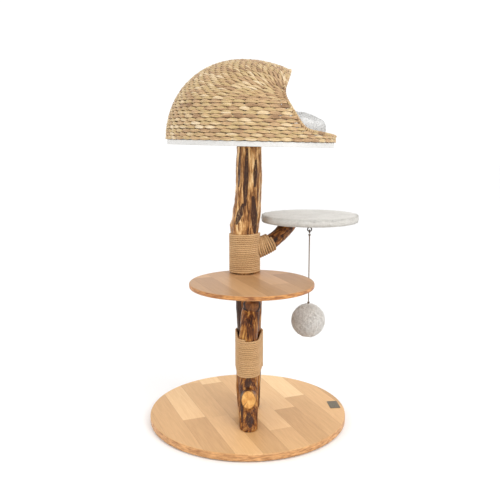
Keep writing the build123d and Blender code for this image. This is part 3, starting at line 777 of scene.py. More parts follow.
# %% Strand mesh
def strand_mesh(name, strands, sides=8, lobes=0):
    """One mesh of closed strands. A strand is a dict of points and outs (n by 3), half_out and
    half_up (its half sizes), tints, and, if it is twisted, its turn at each point."""
    angles = np.arange(sides) * 2 * math.pi / sides
    profile = 1 + 0.13 * np.cos(lobes * angles) if lobes else np.ones(sides)
    places, faces, lies, tints = [], [], [], []
    start = 0
    for number, strand in enumerate(strands):
        points, outs = strand["points"], strand["outs"]
        count = len(points)
        ring = strand.get("ring", False)
        if ring:
            tangents = np.roll(points, -1, axis=0) - np.roll(points, 1, axis=0)
        else:
            tangents = np.gradient(points, axis=0)
        tangents = unit(tangents)
        ups = unit(np.cross(tangents, outs))
        outs = np.cross(ups, tangents)
        spin = angles[None, :] + np.broadcast_to(strand.get("turn", 0.0), count)[:, None]
        half_out = np.broadcast_to(strand["half_out"], count)[:, None] * profile
        half_up = np.broadcast_to(strand["half_up"], count)[:, None] * profile
        skin = (points[:, None, :] + (half_out * np.cos(spin))[:, :, None] * outs[:, None, :]
                + (half_up * np.sin(spin))[:, :, None] * ups[:, None, :])
        places.append(skin.reshape(-1, 3))
        lie = np.stack([np.repeat(distances(points), sides), np.tile(angles / (2 * math.pi), count),
                        np.full(count * sides, number * 0.77)], axis=1)
        lies.append(lie)
        tints.append(np.repeat(np.broadcast_to(strand["tints"], count), sides))
        laps = count if ring else count - 1
        rows = np.arange(laps)[:, None] * sides
        nexts = ((np.arange(laps) + 1) % count)[:, None] * sides
        here, there = np.arange(sides)[None, :], (np.arange(sides)[None, :] + 1) % sides
        quads = np.stack([rows + here, rows + there, nexts + there, nexts + here], axis=2) + start
        faces.extend(quads.reshape(-1, 4).tolist())
        if not ring:
            faces.append([start + side for side in reversed(range(sides))])
            faces.append([start + (count - 1) * sides + side for side in range(sides)])
        start += count * sides
    mesh = bpy.data.meshes.new(name)
    mesh.from_pydata(np.concatenate(places).tolist(), [], faces)
    lie_data = mesh.attributes.new("lie", "FLOAT_VECTOR", "POINT").data
    lie_data.foreach_set("vector", np.concatenate(lies).ravel())
    mesh.attributes.new("tint", "FLOAT", "POINT").data.foreach_set("value", np.concatenate(tints))
    piece = bpy.data.objects.new(name, mesh)
    bpy.context.collection.objects.link(piece)
    return piece


def resample(points, spacing, close=False):
    if close:
        points = np.concatenate([points, points[:1]])
    count = max(4, round(distances(points)[-1] / spacing))
    evened = even_points(points, count + 1)
    return evened[:-1] if close else evened


# %% [markdown]
# ## Jute wraps
# Each wrap is one rope, wound tight from the bottom to the top, with every turn lying on the last. The
# rope has three plies, so its section has three lobes that turn as it runs. The lower wrap binds trunk
# and stem together: its turns go round both, straight across the gaps between them.

# %% Rope round a loop
rope_radius = 0.00275
rope_lay = 0.021                # length in which its plies go once round
rope_step = 0.0026              # between the points of its line
rope_pitch = 2 * rope_radius * 0.985


def wound_rope(loop, low, high, seed):
    """A rope wound up a closed loop of (x, y) points, turn on turn."""
    turns = (high - low - 2 * rope_radius) / rope_pitch
    loop = resample(loop, rope_step, close=True)
    whole = len(loop)
    count = int(turns * whole)
    index = np.arange(count)
    flat = loop[index % whole]
    height = low + rope_radius + rope_pitch * index / whole
    drift = np.array([noise.noise(Vector((i * 0.011, seed, 0))) for i in index]) * 0.0005
    points = np.column_stack([flat[:, 0], flat[:, 1], height + drift])
    loop_steps = np.roll(loop, -1, axis=0) - np.roll(loop, 1, axis=0)
    outward = np.column_stack([loop_steps[:, 1], -loop_steps[:, 0], np.zeros(whole)])
    outs = outward[index % whole]
    turn = index * rope_step * 2 * math.pi / rope_lay
    draws = random.Random(seed)
    patch = np.repeat([draws.random() for _ in range(count // 40 + 1)], 40)[:count]
    return {"points": points, "outs": outs, "half_out": rope_radius, "half_up": rope_radius,
            "tints": 0.5 + 0.5 * (patch - 0.5), "turn": turn}


def circle_points(x, y, radius, start=0.0, end=360.0, count=96):
    angles = np.radians(np.linspace(start, end, count, endpoint=end - start < 360))
    return np.column_stack([x + radius * np.cos(angles), y + radius * np.sin(angles)])


# %% Upper wrap
upper_wrap_low, upper_wrap_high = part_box("upper_jute_wrap")
upper_wrap_middle = (upper_wrap_low + upper_wrap_high) / 2
upper_loop_radius = half_width("upper_jute_wrap") - rope_radius
upper_loop = circle_points(upper_wrap_middle.x, upper_wrap_middle.y, upper_loop_radius)
upper_rope = strand_mesh("upper_rope", [
    wound_rope(upper_loop, upper_wrap_low.z, upper_wrap_high.z, 3)], sides=12, lobes=3)
settle(upper_rope, jute_finish)
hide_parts("upper_jute_wrap")

# %% Lower wrap
wrap_low, wrap_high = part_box("lower_jute_wrap")
stem_girth = 0.026
front_radius = stem_girth + contact_gap + rope_radius
back_radius = half_width("lower_jute_wrap") - rope_radius
back_x, front_x = (wrap_low.x + wrap_high.x) / 2, 0.002
back_y = wrap_high.y - rope_radius - back_radius
front_y = wrap_low.y + rope_radius + front_radius
lean = math.degrees(math.asin((back_radius - front_radius) / math.hypot(back_y - front_y, back_x - front_x)))
swing = math.degrees(math.atan2(back_x - front_x, back_y - front_y))
lower_loop = np.concatenate([
    circle_points(back_x, back_y, back_radius, -lean - swing, 180 + lean - swing, 64),
    circle_points(front_x, front_y, front_radius, 180 + lean - swing, 360 - lean - swing, 48),
])
lower_rope = strand_mesh("lower_rope", [
    wound_rope(lower_loop, wrap_low.z, wrap_high.z, 7)], sides=12, lobes=3)
settle(lower_rope, jute_finish)
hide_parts("lower_jute_wrap")

# %% [markdown]
# The arm's wrap is a sleeve of the same rope round the arm's first stretch. Its turns follow the arm's
# line, so each point of the rope is set out from the nearest point of that line. Near the trunk the turns
# bend into a saddle that fits the trunk's round wrap, and stand a little wider.

# %% Arm wrap
sleeve_reach = 0.080
sleeve_start = 0.0360
sleeve_saddle, sleeve_flare = 0.0065, 0.0035
sleeve_line = route_curve([arm_root, *arm_route[1:]], 400)
sleeve_along = distances(sleeve_line)
sleeve_radius = arm_radius + rope_radius + 0.0004
sleeve_turns = (sleeve_reach - sleeve_start) / rope_pitch
sleeve_count = int(sleeve_turns * 2 * math.pi * sleeve_radius / rope_step)
turned = np.linspace(0, sleeve_turns * 2 * math.pi, sleeve_count)
sleeve_share = np.linspace(0, 1, sleeve_count)
reached = sleeve_start + (sleeve_reach - sleeve_start) * sleeve_share
reached -= sleeve_saddle * np.cos(turned) ** 2 * (1 - sleeve_share)
axis_points = read_along(sleeve_line, sleeve_along, reached)
axis_ways = unit(read_along(np.gradient(sleeve_line, axis=0), sleeve_along, reached))
level_ways = unit(np.cross(axis_ways, (0, 0, 1)))
rising_ways = np.cross(level_ways, axis_ways)
sleeve_outs = np.cos(turned)[:, None] * level_ways + np.sin(turned)[:, None] * rising_ways
sleeve_radii = sleeve_radius + sleeve_flare * (1 - sleeve_share) ** 1.5
arm_rope = strand_mesh("arm_rope", [{
    "points": axis_points + sleeve_radii[:, None] * sleeve_outs, "outs": sleeve_outs,
    "half_out": rope_radius, "half_up": rope_radius, "tints": 0.5 + 0.3 * np.sin(turned * 0.37),
    "turn": np.arange(sleeve_count) * rope_step * 2 * math.pi / rope_lay}], sides=12, lobes=3)
settle(arm_rope, jute_finish)
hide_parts("arm_jute_wrap")

# %% [markdown]
# ## The basket's form
# The basket is a lower band of level rows, and a hood whose rows fan out from a point on each side of
# the mouth, like the hood of a pram. Both lie on one surface: level circles that get smaller and stand
# further back towards the crown. The mouth is cut by one line seen from the side.

# %% Basket surface
basket_radius, basket_height = 0.233, 0.216
hood_bulge, hood_lean, weave_thickness = 2.08, -0.022, 0.010
band_height = 0.100
basket_tilt = math.radians(1.2)
tilt = Matrix.Rotation(basket_tilt, 4, "Y")
board_middle = middle_of("basket_floor")
board_thickness = 0.013
seat = board_middle + tilt @ Vector((0, 0, board_thickness / 2))
basket_place = Matrix.Translation(seat) @ tilt


def level_circle(height):
    """The radius of the basket at a height above its board, and its middle's x."""
    rise = np.clip(np.asarray(height) / basket_height, 0, 0.9999) ** (hood_bulge / 2)
    wide = np.sqrt(1 - rise ** 2) ** (2 / hood_bulge)
    return basket_radius * wide, hood_lean * (1 - wide)


def surface_outs(points):
    """The way out of the basket's surface at points near it, from small steps in each direction."""
    def depth(x, y, z):
        radius, middle_x = level_circle(z)
        return np.hypot(x - middle_x, y) - radius
    small = 0.0005
    x, y, z = points.T
    z = np.minimum(z, basket_height * 0.995)
    outs = np.stack([depth(x + small, y, z) - depth(x - small, y, z),
                     depth(x, y + small, z) - depth(x, y - small, z),
                     depth(x, y, z + small) - depth(x, y, z - small)], axis=1)
    return unit(outs)


def put_in_place(piece):
    piece.data.transform(basket_place)
    piece.data.update()


# %% The mouth's line, seen from the side
def rounded(points, radius, steps=10):
    """A line of points with each inner corner rounded by an arc of this radius."""
    line = [np.array(points[0], float)]
    for before, corner, after in zip(points, points[1:], points[2:]):
        corner = np.array(corner, float)
        back = (np.array(before) - corner) / np.linalg.norm(np.array(before) - corner)
        on = (np.array(after) - corner) / np.linalg.norm(np.array(after) - corner)
        half_turn = math.acos(np.clip(back @ on, -1, 1)) / 2
        reach = radius / math.tan(half_turn)
        middle = corner + (back + on) / np.linalg.norm(back + on) * radius / math.sin(half_turn)
        start, end = corner + back * reach - middle, corner + on * reach - middle
        for share in np.linspace(0, 1, steps):
            spoke = start * (1 - share) + end * share
            line.append(middle + spoke / np.linalg.norm(spoke) * radius)
    line.append(np.array(points[-1], float))
    return np.array(line)


mouth_waist, mouth_step = (0.080, 0.118), (0.135, 0.034)
brow_slope, lip_slope, mouth_round = 0.36, 0.14, 0.040
mouth_top, mouth_front = 0.30, 0.34
brow_end = (mouth_waist[0] + brow_slope * (mouth_top - mouth_waist[1]), mouth_top)
lip_end = (mouth_front, mouth_step[1] - lip_slope * (mouth_front - mouth_step[0]))
mouth_line = resample(rounded([brow_end, mouth_waist, mouth_step, lip_end], mouth_round), 0.004)


def past_mouth(points, margin):
    """True where a point's x and z are in the mouth, or within a margin of its line."""
    flat = points[:, [0, 2]]
    away = np.linalg.norm(flat[:, None, :] - mouth_line[None, :, :], axis=2)
    nearest = away.argmin(axis=1)
    ways = np.gradient(mouth_line, axis=0)[nearest]
    offset = flat - mouth_line[nearest]
    side = ways[:, 0] * offset[:, 1] - ways[:, 1] * offset[:, 0]
    signed = np.where(side > 0, -away.min(axis=1), away.min(axis=1))
    return signed < margin


# %% [markdown]
# ## Twined rows
# Each row is a pair of strands that twist round one another and change places between stakes, so a row
# shows a chain of leaf-shaped stitches. The next row is set over by half a stitch, and its wide places
# fill the narrow places of this one. Each strand is two blades of grass side by side. A blade's tone is
# drawn for each stitch and kept along its whole length.

# %% Twined row
stitch = 0.030
strand_thickness = 0.0021
twist_depth = 0.0026
draws = random.Random(11)


def twined_pair(points, outs, along, heights, row, ring=False, tall=1.0):
    """The two strands of a row, given its middle line on the outer surface."""
    pair = []
    phase = math.pi * along / stitch + row * math.pi / 2
    inwards = weave_thickness / 2
    ups = unit(np.cross(np.gradient(points, axis=0), outs))
    row_tone = draws.random()
    for ply in (0, 1):
        wave = np.cos(phase + ply * math.pi)
        shape = np.abs(wave) ** 0.7
        stitches = np.floor((phase + ply * math.pi) / math.pi + 0.5).astype(int)
        stitches -= stitches.min()
        tones = np.array([0.25 * row_tone + 0.75 * draws.random() for _ in range(stitches.max() + 1)])
        slant = np.sin(phase + ply * math.pi) * heights * 0.06
        swollen = np.array([0.86 + 0.26 * draws.random() for _ in tones])[stitches]
        middle = points - outs * inwards + outs * (wave * twist_depth)[:, None] + ups * slant[:, None]
        half_up = heights * (0.27 + 0.25 * shape * swollen) * tall
        for side in (-1, 1):
            shift = side * (0.30 + 0.20 * draws.random()) * half_up
            lift = strand_thickness * 0.3 * draws.random()
            blade_tones = np.array([draws.random() for _ in tones])
            pair.append({"points": middle + ups * shift[:, None] + outs * lift, "outs": outs,
                         "half_out": strand_thickness * (0.65 + 0.35 * shape), "half_up": half_up * 0.60,
                         "tints": np.clip(0.7 * tones[stitches] + 0.3 * blade_tones[stitches], 0, 1),
                         "ring": ring})
    return pair


def cut_runs(keep, least=4):
    """The runs of neighbouring True values, as pairs of start and end."""
    edges = np.flatnonzero(np.diff(np.concatenate([[0], keep.astype(int), [0]])))
    return [(start, end) for start, end in zip(edges[::2], edges[1::2]) if end - start >= least]


# %% Lower band
band_rows = 11
row_height = band_height / band_rows
rim_margin = 0.0042
band_strands = []
for row in range(band_rows):
    height = row_height * (row + 0.5) + 0.0004
    radius, middle_x = level_circle(height)
    waves = round(2 * math.pi * float(radius) / (2 * stitch))
    count = waves * 12
    angles = np.linspace(0, 2 * math.pi, count, endpoint=False)
    points = np.column_stack([middle_x + radius * np.cos(angles), radius * np.sin(angles),
                              np.full(count, height)])
    wobble = np.array([noise.noise(Vector((math.cos(a) * 6, math.sin(a) * 6, row * 3.1))) for a in angles])
    points[:, 2] += wobble * 0.0010
    outs = surface_outs(points)
    along = angles / (2 * math.pi) * waves * 2 * stitch
    open_now = past_mouth(points, rim_margin)
    if not open_now.any():
        band_strands += twined_pair(points, outs, along, np.full(count, row_height), row, ring=True)
        continue
    first = int(np.flatnonzero(open_now)[0])
    order = np.roll(np.arange(count), -first)
    for start, end in cut_runs(~open_now[order]):
        run = order[start:end]
        run_along = (along[run] - along[run[0]]) % (waves * 2 * stitch) + along[run[0]]
        band_strands += twined_pair(points[run], outs[run], run_along, np.full(len(run), row_height), row)
band_weave = strand_mesh("basket_band_weave", band_strands, sides=6)
put_in_place(band_weave)
settle(band_weave, grass_finish)
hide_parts("basket_wall")

# %% [markdown]
# ## The hood's rows
# A hood row lies in a plane that turns about the line between the two side points. Along the middle the
# rows are evenly spaced. Towards the sides they crowd, and every second row is left out as they do, as a
# weaver drops rows to keep the weave flat.

# %% Rows of the hood
pivot = np.array([0.100, 0.0, band_height + 0.0012])
row_samples = 260
sweep = np.linspace(-math.pi / 2 * 0.995, math.pi / 2 * 0.995, row_samples)


def hood_row(turn):
    """Points of the basket's surface in the plane at this turn about the pivot line, from side to side."""
    plane_way = np.array([math.cos(turn), 0.0, math.sin(turn)])
    ways = np.cos(sweep)[:, None] * plane_way + np.sin(sweep)[:, None] * np.array([0.0, 1.0, 0.0])
    near, far = np.zeros(row_samples), np.full(row_samples, 0.5)
    for _ in range(40):
        middle = (near + far) / 2
        points = pivot + ways * middle[:, None]
        radius, middle_x = level_circle(points[:, 2])
        inside = (np.hypot(points[:, 0] - middle_x, points[:, 1]) < radius) & (points[:, 2] < basket_height)
        near, far = np.where(inside, middle, near), np.where(inside, far, middle)
    return pivot + ways * near[:, None]


def even_turns(first, last, spacing):
    """Turns about the pivot at which the rows are evenly spaced along the middle of the hood."""
    turns = np.linspace(first, last, 300)
    middles = np.array([hood_row(turn)[row_samples // 2] for turn in turns])
    along = distances(middles)
    count = round(along[-1] / spacing)
    return np.interp((np.arange(count) + 0.5) * along[-1] / count, along, turns)


hood_spacing = 0.0088
hood_turns = even_turns(math.pi * 0.9999, math.radians(84), hood_spacing)
hood_grid = np.array([hood_row(turn) for turn in hood_turns])
gaps = np.linalg.norm(np.gradient(hood_grid, axis=0), axis=2)
print("hood rows", len(hood_turns))


def fade(gap):
    share = np.clip((gap - 0.0042) / 0.0022, 0, 1)
    return share * share * (3 - 2 * share)


def row_share(row, gap):
    """How tall a row is where full spacing is this gap; odd rows fade out first, then every fourth."""
    odd = gap * fade(gap)
    every_second = (2 * gap - odd) * fade(2 * gap)
    if row % 2:
        return odd
    if row % 4 == 2:
        return every_second
    return np.minimum(4 * gap - 2 * odd - every_second, 0.0105)


hood_strands = []
for row, (line, gap) in enumerate(zip(hood_grid, gaps)):
    along = distances(line)
    count = max(12, round(along[-1] / 0.005))
    wanted = np.linspace(0, along[-1], count)
    points = read_along(line, along, wanted)
    heights = row_share(row, np.interp(wanted, along, gap))
    outs = surface_outs(points)
    from_middle = wanted - along[-1] / 2
    keep = ~past_mouth(points, rim_margin) & (heights > 0.0016) & (points[:, 2] > band_height + 0.0005)
    for start, end in cut_runs(keep):
        run = slice(start, end)
        hood_strands += twined_pair(points[run], outs[run], from_middle[run], heights[run], row, tall=1.02)
hood_weave = strand_mesh("basket_hood_weave", hood_strands, sides=6)
put_in_place(hood_weave)
print("weave faces", len(band_weave.data.polygons), len(hood_weave.data.polygons))
settle(hood_weave, grass_finish)
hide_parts("basket_hood")

# %% [markdown]
# ## Stakes
# The stakes are the thin upright rods that the rows are twined round. They stand in the middle of the
# weave's thickness, half a stitch apart, and follow the hood from its back to its brow.

# %% Stakes
stake_radius = 0.0016
stake_strands = []
stake_count = round(2 * math.pi * basket_radius / (stitch / 2))


def add_stakes(points, least):
    """Adds a stake for each run of a line that is clear of the mouth."""
    outs = surface_outs(points)
    for start, end in cut_runs(~past_mouth(points, rim_margin), least):
        run = slice(start, end)
        stake_strands.append({"points": points[run] - outs[run] * weave_thickness / 2, "outs": outs[run],
                              "half_out": stake_radius, "half_up": stake_radius,
                              "tints": draws.random()})


for number in range(stake_count):
    angle = 2 * math.pi * number / stake_count
    heights = np.linspace(0.001, band_height, 9)
    radius, middle_x = level_circle(heights)
    points = np.column_stack([middle_x + radius * math.cos(angle), radius * math.sin(angle), heights])
    add_stakes(points, 2)
grid_along = np.array([distances(line) for line in hood_grid])
widest = grid_along[:, -1].max() / 2
for offset in np.arange(-widest, widest, stitch / 2):
    picked = []
    for line, along in zip(hood_grid, grid_along):
        if abs(offset) < along[-1] / 2 - 0.004:
            picked.append([np.interp(offset + along[-1] / 2, along, line[:, axis]) for axis in range(3)])
    if len(picked) < 4:
        continue
    add_stakes(np.array(picked), 4)
stakes = strand_mesh("basket_stakes", stake_strands, sides=6)
put_in_place(stakes)
settle(stakes, stake_finish)

# %% [markdown]
# ## The bound rim
# The mouth's edge is a bundle of grass ends, whipped with a fine strand. The bundle follows the mouth's
# line all the way round, over the crown and along the lip, and the whipping is a helix about it.

# %% Rim
side_line = resample(mouth_line, 0.001)
radius, middle_x = level_circle(side_line[:, 1])
reach = radius ** 2 - (side_line[:, 0] - middle_x) ** 2
on_basket = (reach > 0) & (side_line[:, 1] < basket_height * 0.999)
side_line, reach = side_line[on_basket], reach[on_basket]
right_side = np.column_stack([side_line[:, 0], np.sqrt(reach), side_line[:, 1]])
left_side = (right_side * (1, -1, 1))[::-1]
rim_line = resample(np.concatenate([right_side, left_side]), 0.0035, close=True)
for _ in range(3):
    rim_line = (np.roll(rim_line, 1, axis=0) + rim_line + np.roll(rim_line, -1, axis=0)) / 3
rim_outs = surface_outs(rim_line)
rim_half_out, rim_half_up = 0.0054, 0.0032
rim_ways = np.roll(rim_line, -1, axis=0) - np.roll(rim_line, 1, axis=0)
inland = unit(np.cross(rim_ways, rim_outs))
inland *= -np.sign(inland[:, 0].mean())
rim_middle = rim_line - rim_outs * weave_thickness / 2 + inland * (rim_half_up + 0.0006)
bundle = {"points": rim_middle, "outs": rim_outs, "half_out": rim_half_out, "half_up": rim_half_up,
          "tints": 0.3, "ring": True}
steps = np.linalg.norm(np.roll(rim_middle, -1, axis=0) - rim_middle, axis=1)
rim_length = steps.sum()
whip_pitch, whip_steps, whip_gap = 0.0062, 10, 0.0004
whip_turns = round(rim_length / whip_pitch)
whip_count = whip_turns * whip_steps
lap = np.arange(whip_count) / whip_count * len(rim_middle)
index = np.floor(lap).astype(int)
part = (lap - index)[:, None]
whip_axis = rim_middle[index] * (1 - part) + rim_middle[(index + 1) % len(rim_middle)] * part
whip_outs = rim_outs[index]
whip_ways = np.roll(rim_middle, -1, axis=0)[index] - rim_middle[index]
whip_ups = unit(np.cross(whip_ways, whip_outs))
spun = 2 * math.pi * whip_turns * np.arange(whip_count) / whip_count
whip_spokes = np.cos(spun)[:, None] * whip_outs + np.sin(spun)[:, None] * whip_ups
whip_points = (whip_axis + (np.cos(spun) * (rim_half_out + whip_gap))[:, None] * whip_outs
               + (np.sin(spun) * (rim_half_up + whip_gap))[:, None] * whip_ups)
whip_tones = np.repeat([draws.random() for _ in range(whip_turns)], whip_steps) * 0.7 + 0.1
whipping = {"points": whip_points, "outs": whip_spokes, "half_out": 0.0010, "half_up": 0.0027,
            "tints": whip_tones, "ring": True}
rim = strand_mesh("basket_rim", [bundle, whipping], sides=8)
put_in_place(rim)
settle(rim, grass_finish)
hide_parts("rim_binding")

# %% [markdown]
# ## Plush
# Plush is a soft body with a short pile. The body is made first: a spun cover for the perch, a ball, and
# an inflated cushion. Then many small tufts are set into it, each a thin three-sided spike that leans a
# little, so that the outline is soft and the light catches the ends.

# %% Tufts
def plant_tufts(piece, count, length, width, seed, lowest=-1.0):
    """Sets closed three-sided spikes into a piece, spread by area, on faces that look above lowest."""
    mesh = piece.data
    mesh.calc_loop_triangles()
    corners = np.zeros(len(mesh.vertices) * 3)
    mesh.vertices.foreach_get("co", corners)
    corners = corners.reshape(-1, 3)
    triangles = np.zeros(len(mesh.loop_triangles) * 3, int)
    mesh.loop_triangles.foreach_get("vertices", triangles)
    a, b, c = (corners[triangles[side::3]] for side in range(3))
    across = np.cross(b - a, c - a)
    areas = np.linalg.norm(across, axis=1) / 2
    normals = across / (2 * areas[:, None] + 1e-12)
    areas = np.where(normals[:, 2] > lowest, areas, 0)
    rng = np.random.default_rng(seed)
    chosen = rng.choice(len(areas), count, p=areas / areas.sum())
    u, v = rng.random((2, count, 1))
    flip = (u + v) > 1
    u, v = np.where(flip, 1 - u, u), np.where(flip, 1 - v, v)
    roots = a[chosen] + u * (b - a)[chosen] + v * (c - a)[chosen]
    ups = normals[chosen]
    sides = unit(np.cross(ups, rng.normal(size=(count, 3))))
    thirds = np.cross(ups, sides)
    leans = unit(ups + 0.75 * rng.normal(size=(count, 1)) * sides)
    sizes = length * (0.6 + 0.6 * rng.random((count, 1)))
    half = width / 2
    roots -= ups * 0.0006
    spikes = np.stack([roots + sides * half, roots - sides * half * 0.5 + thirds * half * 0.87,
                       roots - sides * half * 0.5 - thirds * half * 0.87, roots + leans * sizes], axis=1)
    base = np.arange(count)[:, None] * 4
    faces = np.concatenate([base + np.array(face) for face in ((0, 1, 3), (1, 2, 3), (2, 0, 3), (0, 2, 1))])
    tufts_mesh = bpy.data.meshes.new("tufts")
    tufts_mesh.from_pydata(spikes.reshape(-1, 3).tolist(), [], faces.tolist())
    tufts = bpy.data.objects.new("tufts", tufts_mesh)
    bpy.context.collection.objects.link(tufts)
    pick(piece, tufts)
    bpy.ops.object.join()
    return piece


def rumple(piece, size, strength):
    """Displaces a piece by soft clouds, for the uneven pile of plush."""
    texture = bpy.data.textures.new(piece.name + "_clouds", "CLOUDS")
    texture.noise_scale = size
    texture.noise_depth = 2
    displace = piece.modifiers.new("rumple", "DISPLACE")
    displace.texture = texture
    displace.texture_coords = "LOCAL"
    displace.mid_level = 0.7
    displace.strength = strength
    apply_all(piece)


# %% Perch cover
cover_low, cover_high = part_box("perch_cover")
cover_radius = half_width("perch_cover")
cover_middle = (cover_low + cover_high) / 2
board_radius = half_width("perch_board")
pad_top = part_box("perch_pad")[1].z
pile = 0.0022
hem_width = 0.025
edge_round = 0.0095


def spun_cover(name, outline, middle, steps):
    """Spins an open outline of (radius, height) about the upright line through middle."""
    start_fresh()
    mesh = bpy.data.meshes.new(name)
    points = [(middle.x + radius, middle.y, height) for radius, height in outline]
    mesh.from_pydata(points, [(i, i + 1) for i in range(len(points) - 1)], [])
    cover = bpy.data.objects.new(name, mesh)
    bpy.context.collection.objects.link(cover)
    pick(cover)
    bpy.ops.object.mode_set(mode="EDIT")
    bpy.ops.mesh.select_all(action="SELECT")
    bpy.ops.mesh.spin(steps=steps, angle=2 * math.pi, center=tuple(middle), axis=(0, 0, 1))
    bpy.ops.mesh.select_all(action="SELECT")
    bpy.ops.mesh.remove_doubles(threshold=0.00002)
    bpy.ops.mesh.normals_make_consistent(inside=False)
    bpy.ops.object.mode_set(mode="OBJECT")
    # Spin leaves the faces in a new order each run, and tufts are drawn by that order, so it is fixed here.
    ordered = bpy.data.meshes.new(name)
    faces = sorted(tuple(polygon.vertices) for polygon in cover.data.polygons)
    ordered.from_pydata([vertex.co for vertex in cover.data.vertices], [], faces)
    cover.data = ordered
    return cover


outer_low, outer_high = cover_low.z + 0.0006, cover_high.z - pile
outer = cover_radius - pile
hem_inner = board_radius - hem_width
inside_radius = board_radius + 0.0004
rounded_side = rounded([(0.0, outer_high), (outer, outer_high), (outer, outer_low), (hem_inner, outer_low)],
                       edge_round, 7)
cover_outline = np.concatenate([
    resample(rounded_side, 0.0035),
    [(hem_inner, board_bottom - contact_gap), (inside_radius, board_bottom - contact_gap),
     (inside_radius, pad_top + 0.0004), (0.0, pad_top + 0.0004)]])
perch_plush = spun_cover("perch_plush", cover_outline, cover_middle, 168)
rumple(perch_plush, 0.012, 0.0012)
for vertex in perch_plush.data.vertices:
    flat = math.hypot(vertex.co.x - cover_middle.x, vertex.co.y - cover_middle.y)
    if vertex.co.z < pad_top + 0.0006 and flat < inside_radius - 0.001:
        vertex.co.z = min(vertex.co.z, board_bottom - contact_gap)
plant_tufts(perch_plush, 26000, 0.0034, 0.0014, 21, lowest=-0.6)
settle(perch_plush, plush_finish)
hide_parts("perch_cover")

# %% Toy ball
ball_low, ball_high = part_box("toy_ball")
ball_middle = (ball_low + ball_high) / 2
ball_radius = half_width("toy_ball")
start_fresh()
bpy.ops.mesh.primitive_ico_sphere_add(subdivisions=6, radius=ball_radius - 0.0020, location=ball_middle)
ball_plush = bpy.context.object
ball_plush.name = "ball_plush"
apply_all(ball_plush)
rumple(ball_plush, 0.009, 0.0060)
plant_tufts(ball_plush, 22000, 0.0046, 0.0019, 22)
settle(ball_plush, ball_finish, body="toy_ball")
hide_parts("toy_ball")

# %% [markdown]
# ## Cushion
# The cushion is a stuffed round pillow. A slightly small copy of its form is remeshed evenly and blown up
# by cloth pressure without gravity, which pulls its seams in and swells its faces. No point may move
# further than a few millimetres, so it stays inside the basket's wall.

# %% Cushion
def inflate(piece, voxel, pressure, furthest):
    """Remeshes a closed piece and inflates it as cloth, keeping each point near where it was."""
    remesh = piece.modifiers.new("even_cloth", "REMESH")
    remesh.mode = "VOXEL"
    remesh.voxel_size = voxel
    apply_all(piece)
    count = len(piece.data.vertices)
    before = np.zeros(3 * count)
    piece.data.vertices.foreach_get("co", before)
    cloth = piece.modifiers.new("air", "CLOTH")
    cloth.settings.use_pressure = True
    cloth.settings.uniform_pressure_force = pressure
    cloth.settings.effector_weights.gravity = 0
    scene = bpy.context.scene
    for number in range(1, 21):
        scene.frame_set(number)
    evaluated = piece.evaluated_get(bpy.context.evaluated_depsgraph_get())
    after = np.zeros(3 * count)
    evaluated.data.vertices.foreach_get("co", after)
    piece.modifiers.remove(cloth)
    scene.frame_set(1)
    moves = (after - before).reshape(-1, 3)
    far = np.linalg.norm(moves, axis=1)
    moves *= np.minimum(1, furthest / np.maximum(far, 1e-9))[:, None]
    piece.data.vertices.foreach_set("co", before + moves.ravel())
    piece.data.update()
    print("inflated", piece.name, "furthest move", round(float(far.max()), 4))


cushion_radius, cushion_rise, cushion_side_height = 0.213, 0.080, 0.056
crown_share, underside = 0.72, 0.0045
puff = 0.004                    # how far the air may move a point
shrunk = cushion_radius - puff - pile
crown = cushion_rise - 0.006
cushion_side = rounded([(0.0, crown), (shrunk * crown_share, crown), (shrunk, cushion_side_height),
                        (shrunk, underside), (0.0, underside)], 0.017, 8)
cushion_plush = spun_cover("cushion_plush", resample(cushion_side, 0.006), Vector((0, 0, 0)), 120)
inflate(cushion_plush, 0.006, 4, puff)
finer = cushion_plush.modifiers.new("finer", "SUBSURF")
finer.levels = finer.render_levels = 1
apply_all(cushion_plush)
rumple(cushion_plush, 0.018, 0.0030)
for vertex in cushion_plush.data.vertices:
    vertex.co.z = max(vertex.co.z, 0.0006)
plant_tufts(cushion_plush, 26000, 0.0030, 0.0016, 23, lowest=-0.3)
put_in_place(cushion_plush)
settle(cushion_plush, white_plush_finish)
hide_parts("cushion")

# %% [markdown]
# ## Knots on the toy's cord
# A plain overhand knot holds each end of the cord. Its line is a trefoil, which is what an overhand knot
# is once it is pulled tight.

# %% Knots
knots_low, knots_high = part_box("toy_knots")
toy_knot_radius = half_width("toy_knots")


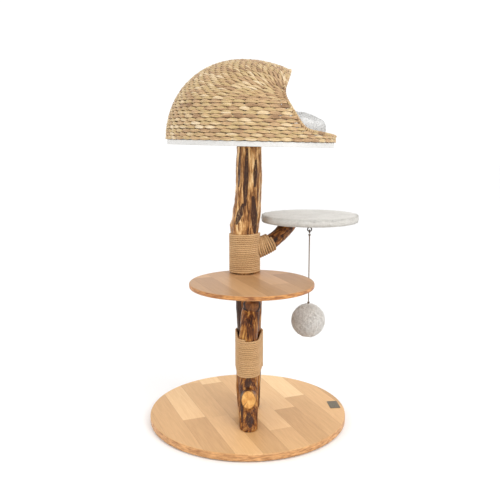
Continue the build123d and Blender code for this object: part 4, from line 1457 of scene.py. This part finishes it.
def overhand(height):
    turn = np.linspace(0, 2 * math.pi, 72, endpoint=False)
    size = toy_knot_radius / 3.9
    flat = np.column_stack([np.sin(turn) + 2 * np.sin(2 * turn), -np.sin(3 * turn) * 1.1,
                            np.cos(turn) - 2 * np.cos(2 * turn)]) * size
    middle = np.array([string_middle.x, string_middle.y, height])
    steps = np.roll(flat, -1, axis=0) - np.roll(flat, 1, axis=0)
    outs = unit(np.cross(steps, (0.1, 1.0, 0.2)))
    return {"points": middle + flat, "outs": outs, "half_out": toy_knot_radius * 0.36,
            "half_up": toy_knot_radius * 0.36, "tints": 0.5 + 0.3 * np.sin(turn), "ring": True}


knots = strand_mesh("cord_knots", [overhand(knots_low.z + toy_knot_radius),
                                   overhand(knots_high.z - toy_knot_radius)], sides=10)
settle(knots, cord_finish, body="toy_cord")
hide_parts("toy_knots")

# %% Declaring the cord
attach(ball_cord, "toy_cord")
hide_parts("toy_string")

# %% [markdown]
# ## Floor and light
# A pale floor and even white surroundings keep attention on the tree. One large soft lamp from the right
# and front gives the shapes a lit side, and a weaker one on the left opens the shadows.

# %% Floor and light
start_fresh()
bpy.ops.mesh.primitive_plane_add(size=40, location=(0, 0, 0))
floor = bpy.context.object
floor.name = "floor"
floor_finish, floor_tree, floor_shader = new_finish("pale_floor", Roughness=0.7)
floor_noise = blotches(floor_tree, pattern_space(floor_tree, (0.6, 0.6, 0.6)), 2)
colour_with(floor_tree, floor_shader, shade_by(floor_tree, floor_noise, [
    (0.3, (0.93, 0.93, 0.93)), (0.7, (0.96, 0.96, 0.96))]))
floor.data.materials.append(floor_finish)

world = bpy.data.worlds.new("white_room")
world.use_nodes = True
world.node_tree.nodes["Background"].inputs["Color"].default_value = (1.0, 1.0, 1.0, 1)
world.node_tree.nodes["Background"].inputs["Strength"].default_value = 1.08
bpy.context.scene.world = world


def soft_lamp(name, place, target, size, power):
    lamp_data = bpy.data.lights.new(name, "AREA")
    lamp_data.size = size
    lamp_data.energy = power
    lamp = bpy.data.objects.new(name, lamp_data)
    lamp.location = place
    lamp.rotation_euler = (Vector(target) - Vector(place)).to_track_quat("-Z", "Y").to_euler()
    bpy.context.collection.objects.link(lamp)
    return lamp


soft_lamp("key", (1.7, -1.9, 2.3), (0, 0, 0.5), 1.4, 34)
soft_lamp("fill", (-1.9, -1.5, 1.4), (0, 0, 0.5), 1.6, 7)
bpy.context.scene.view_settings.view_transform = "Standard"
print("floor and lamps set")
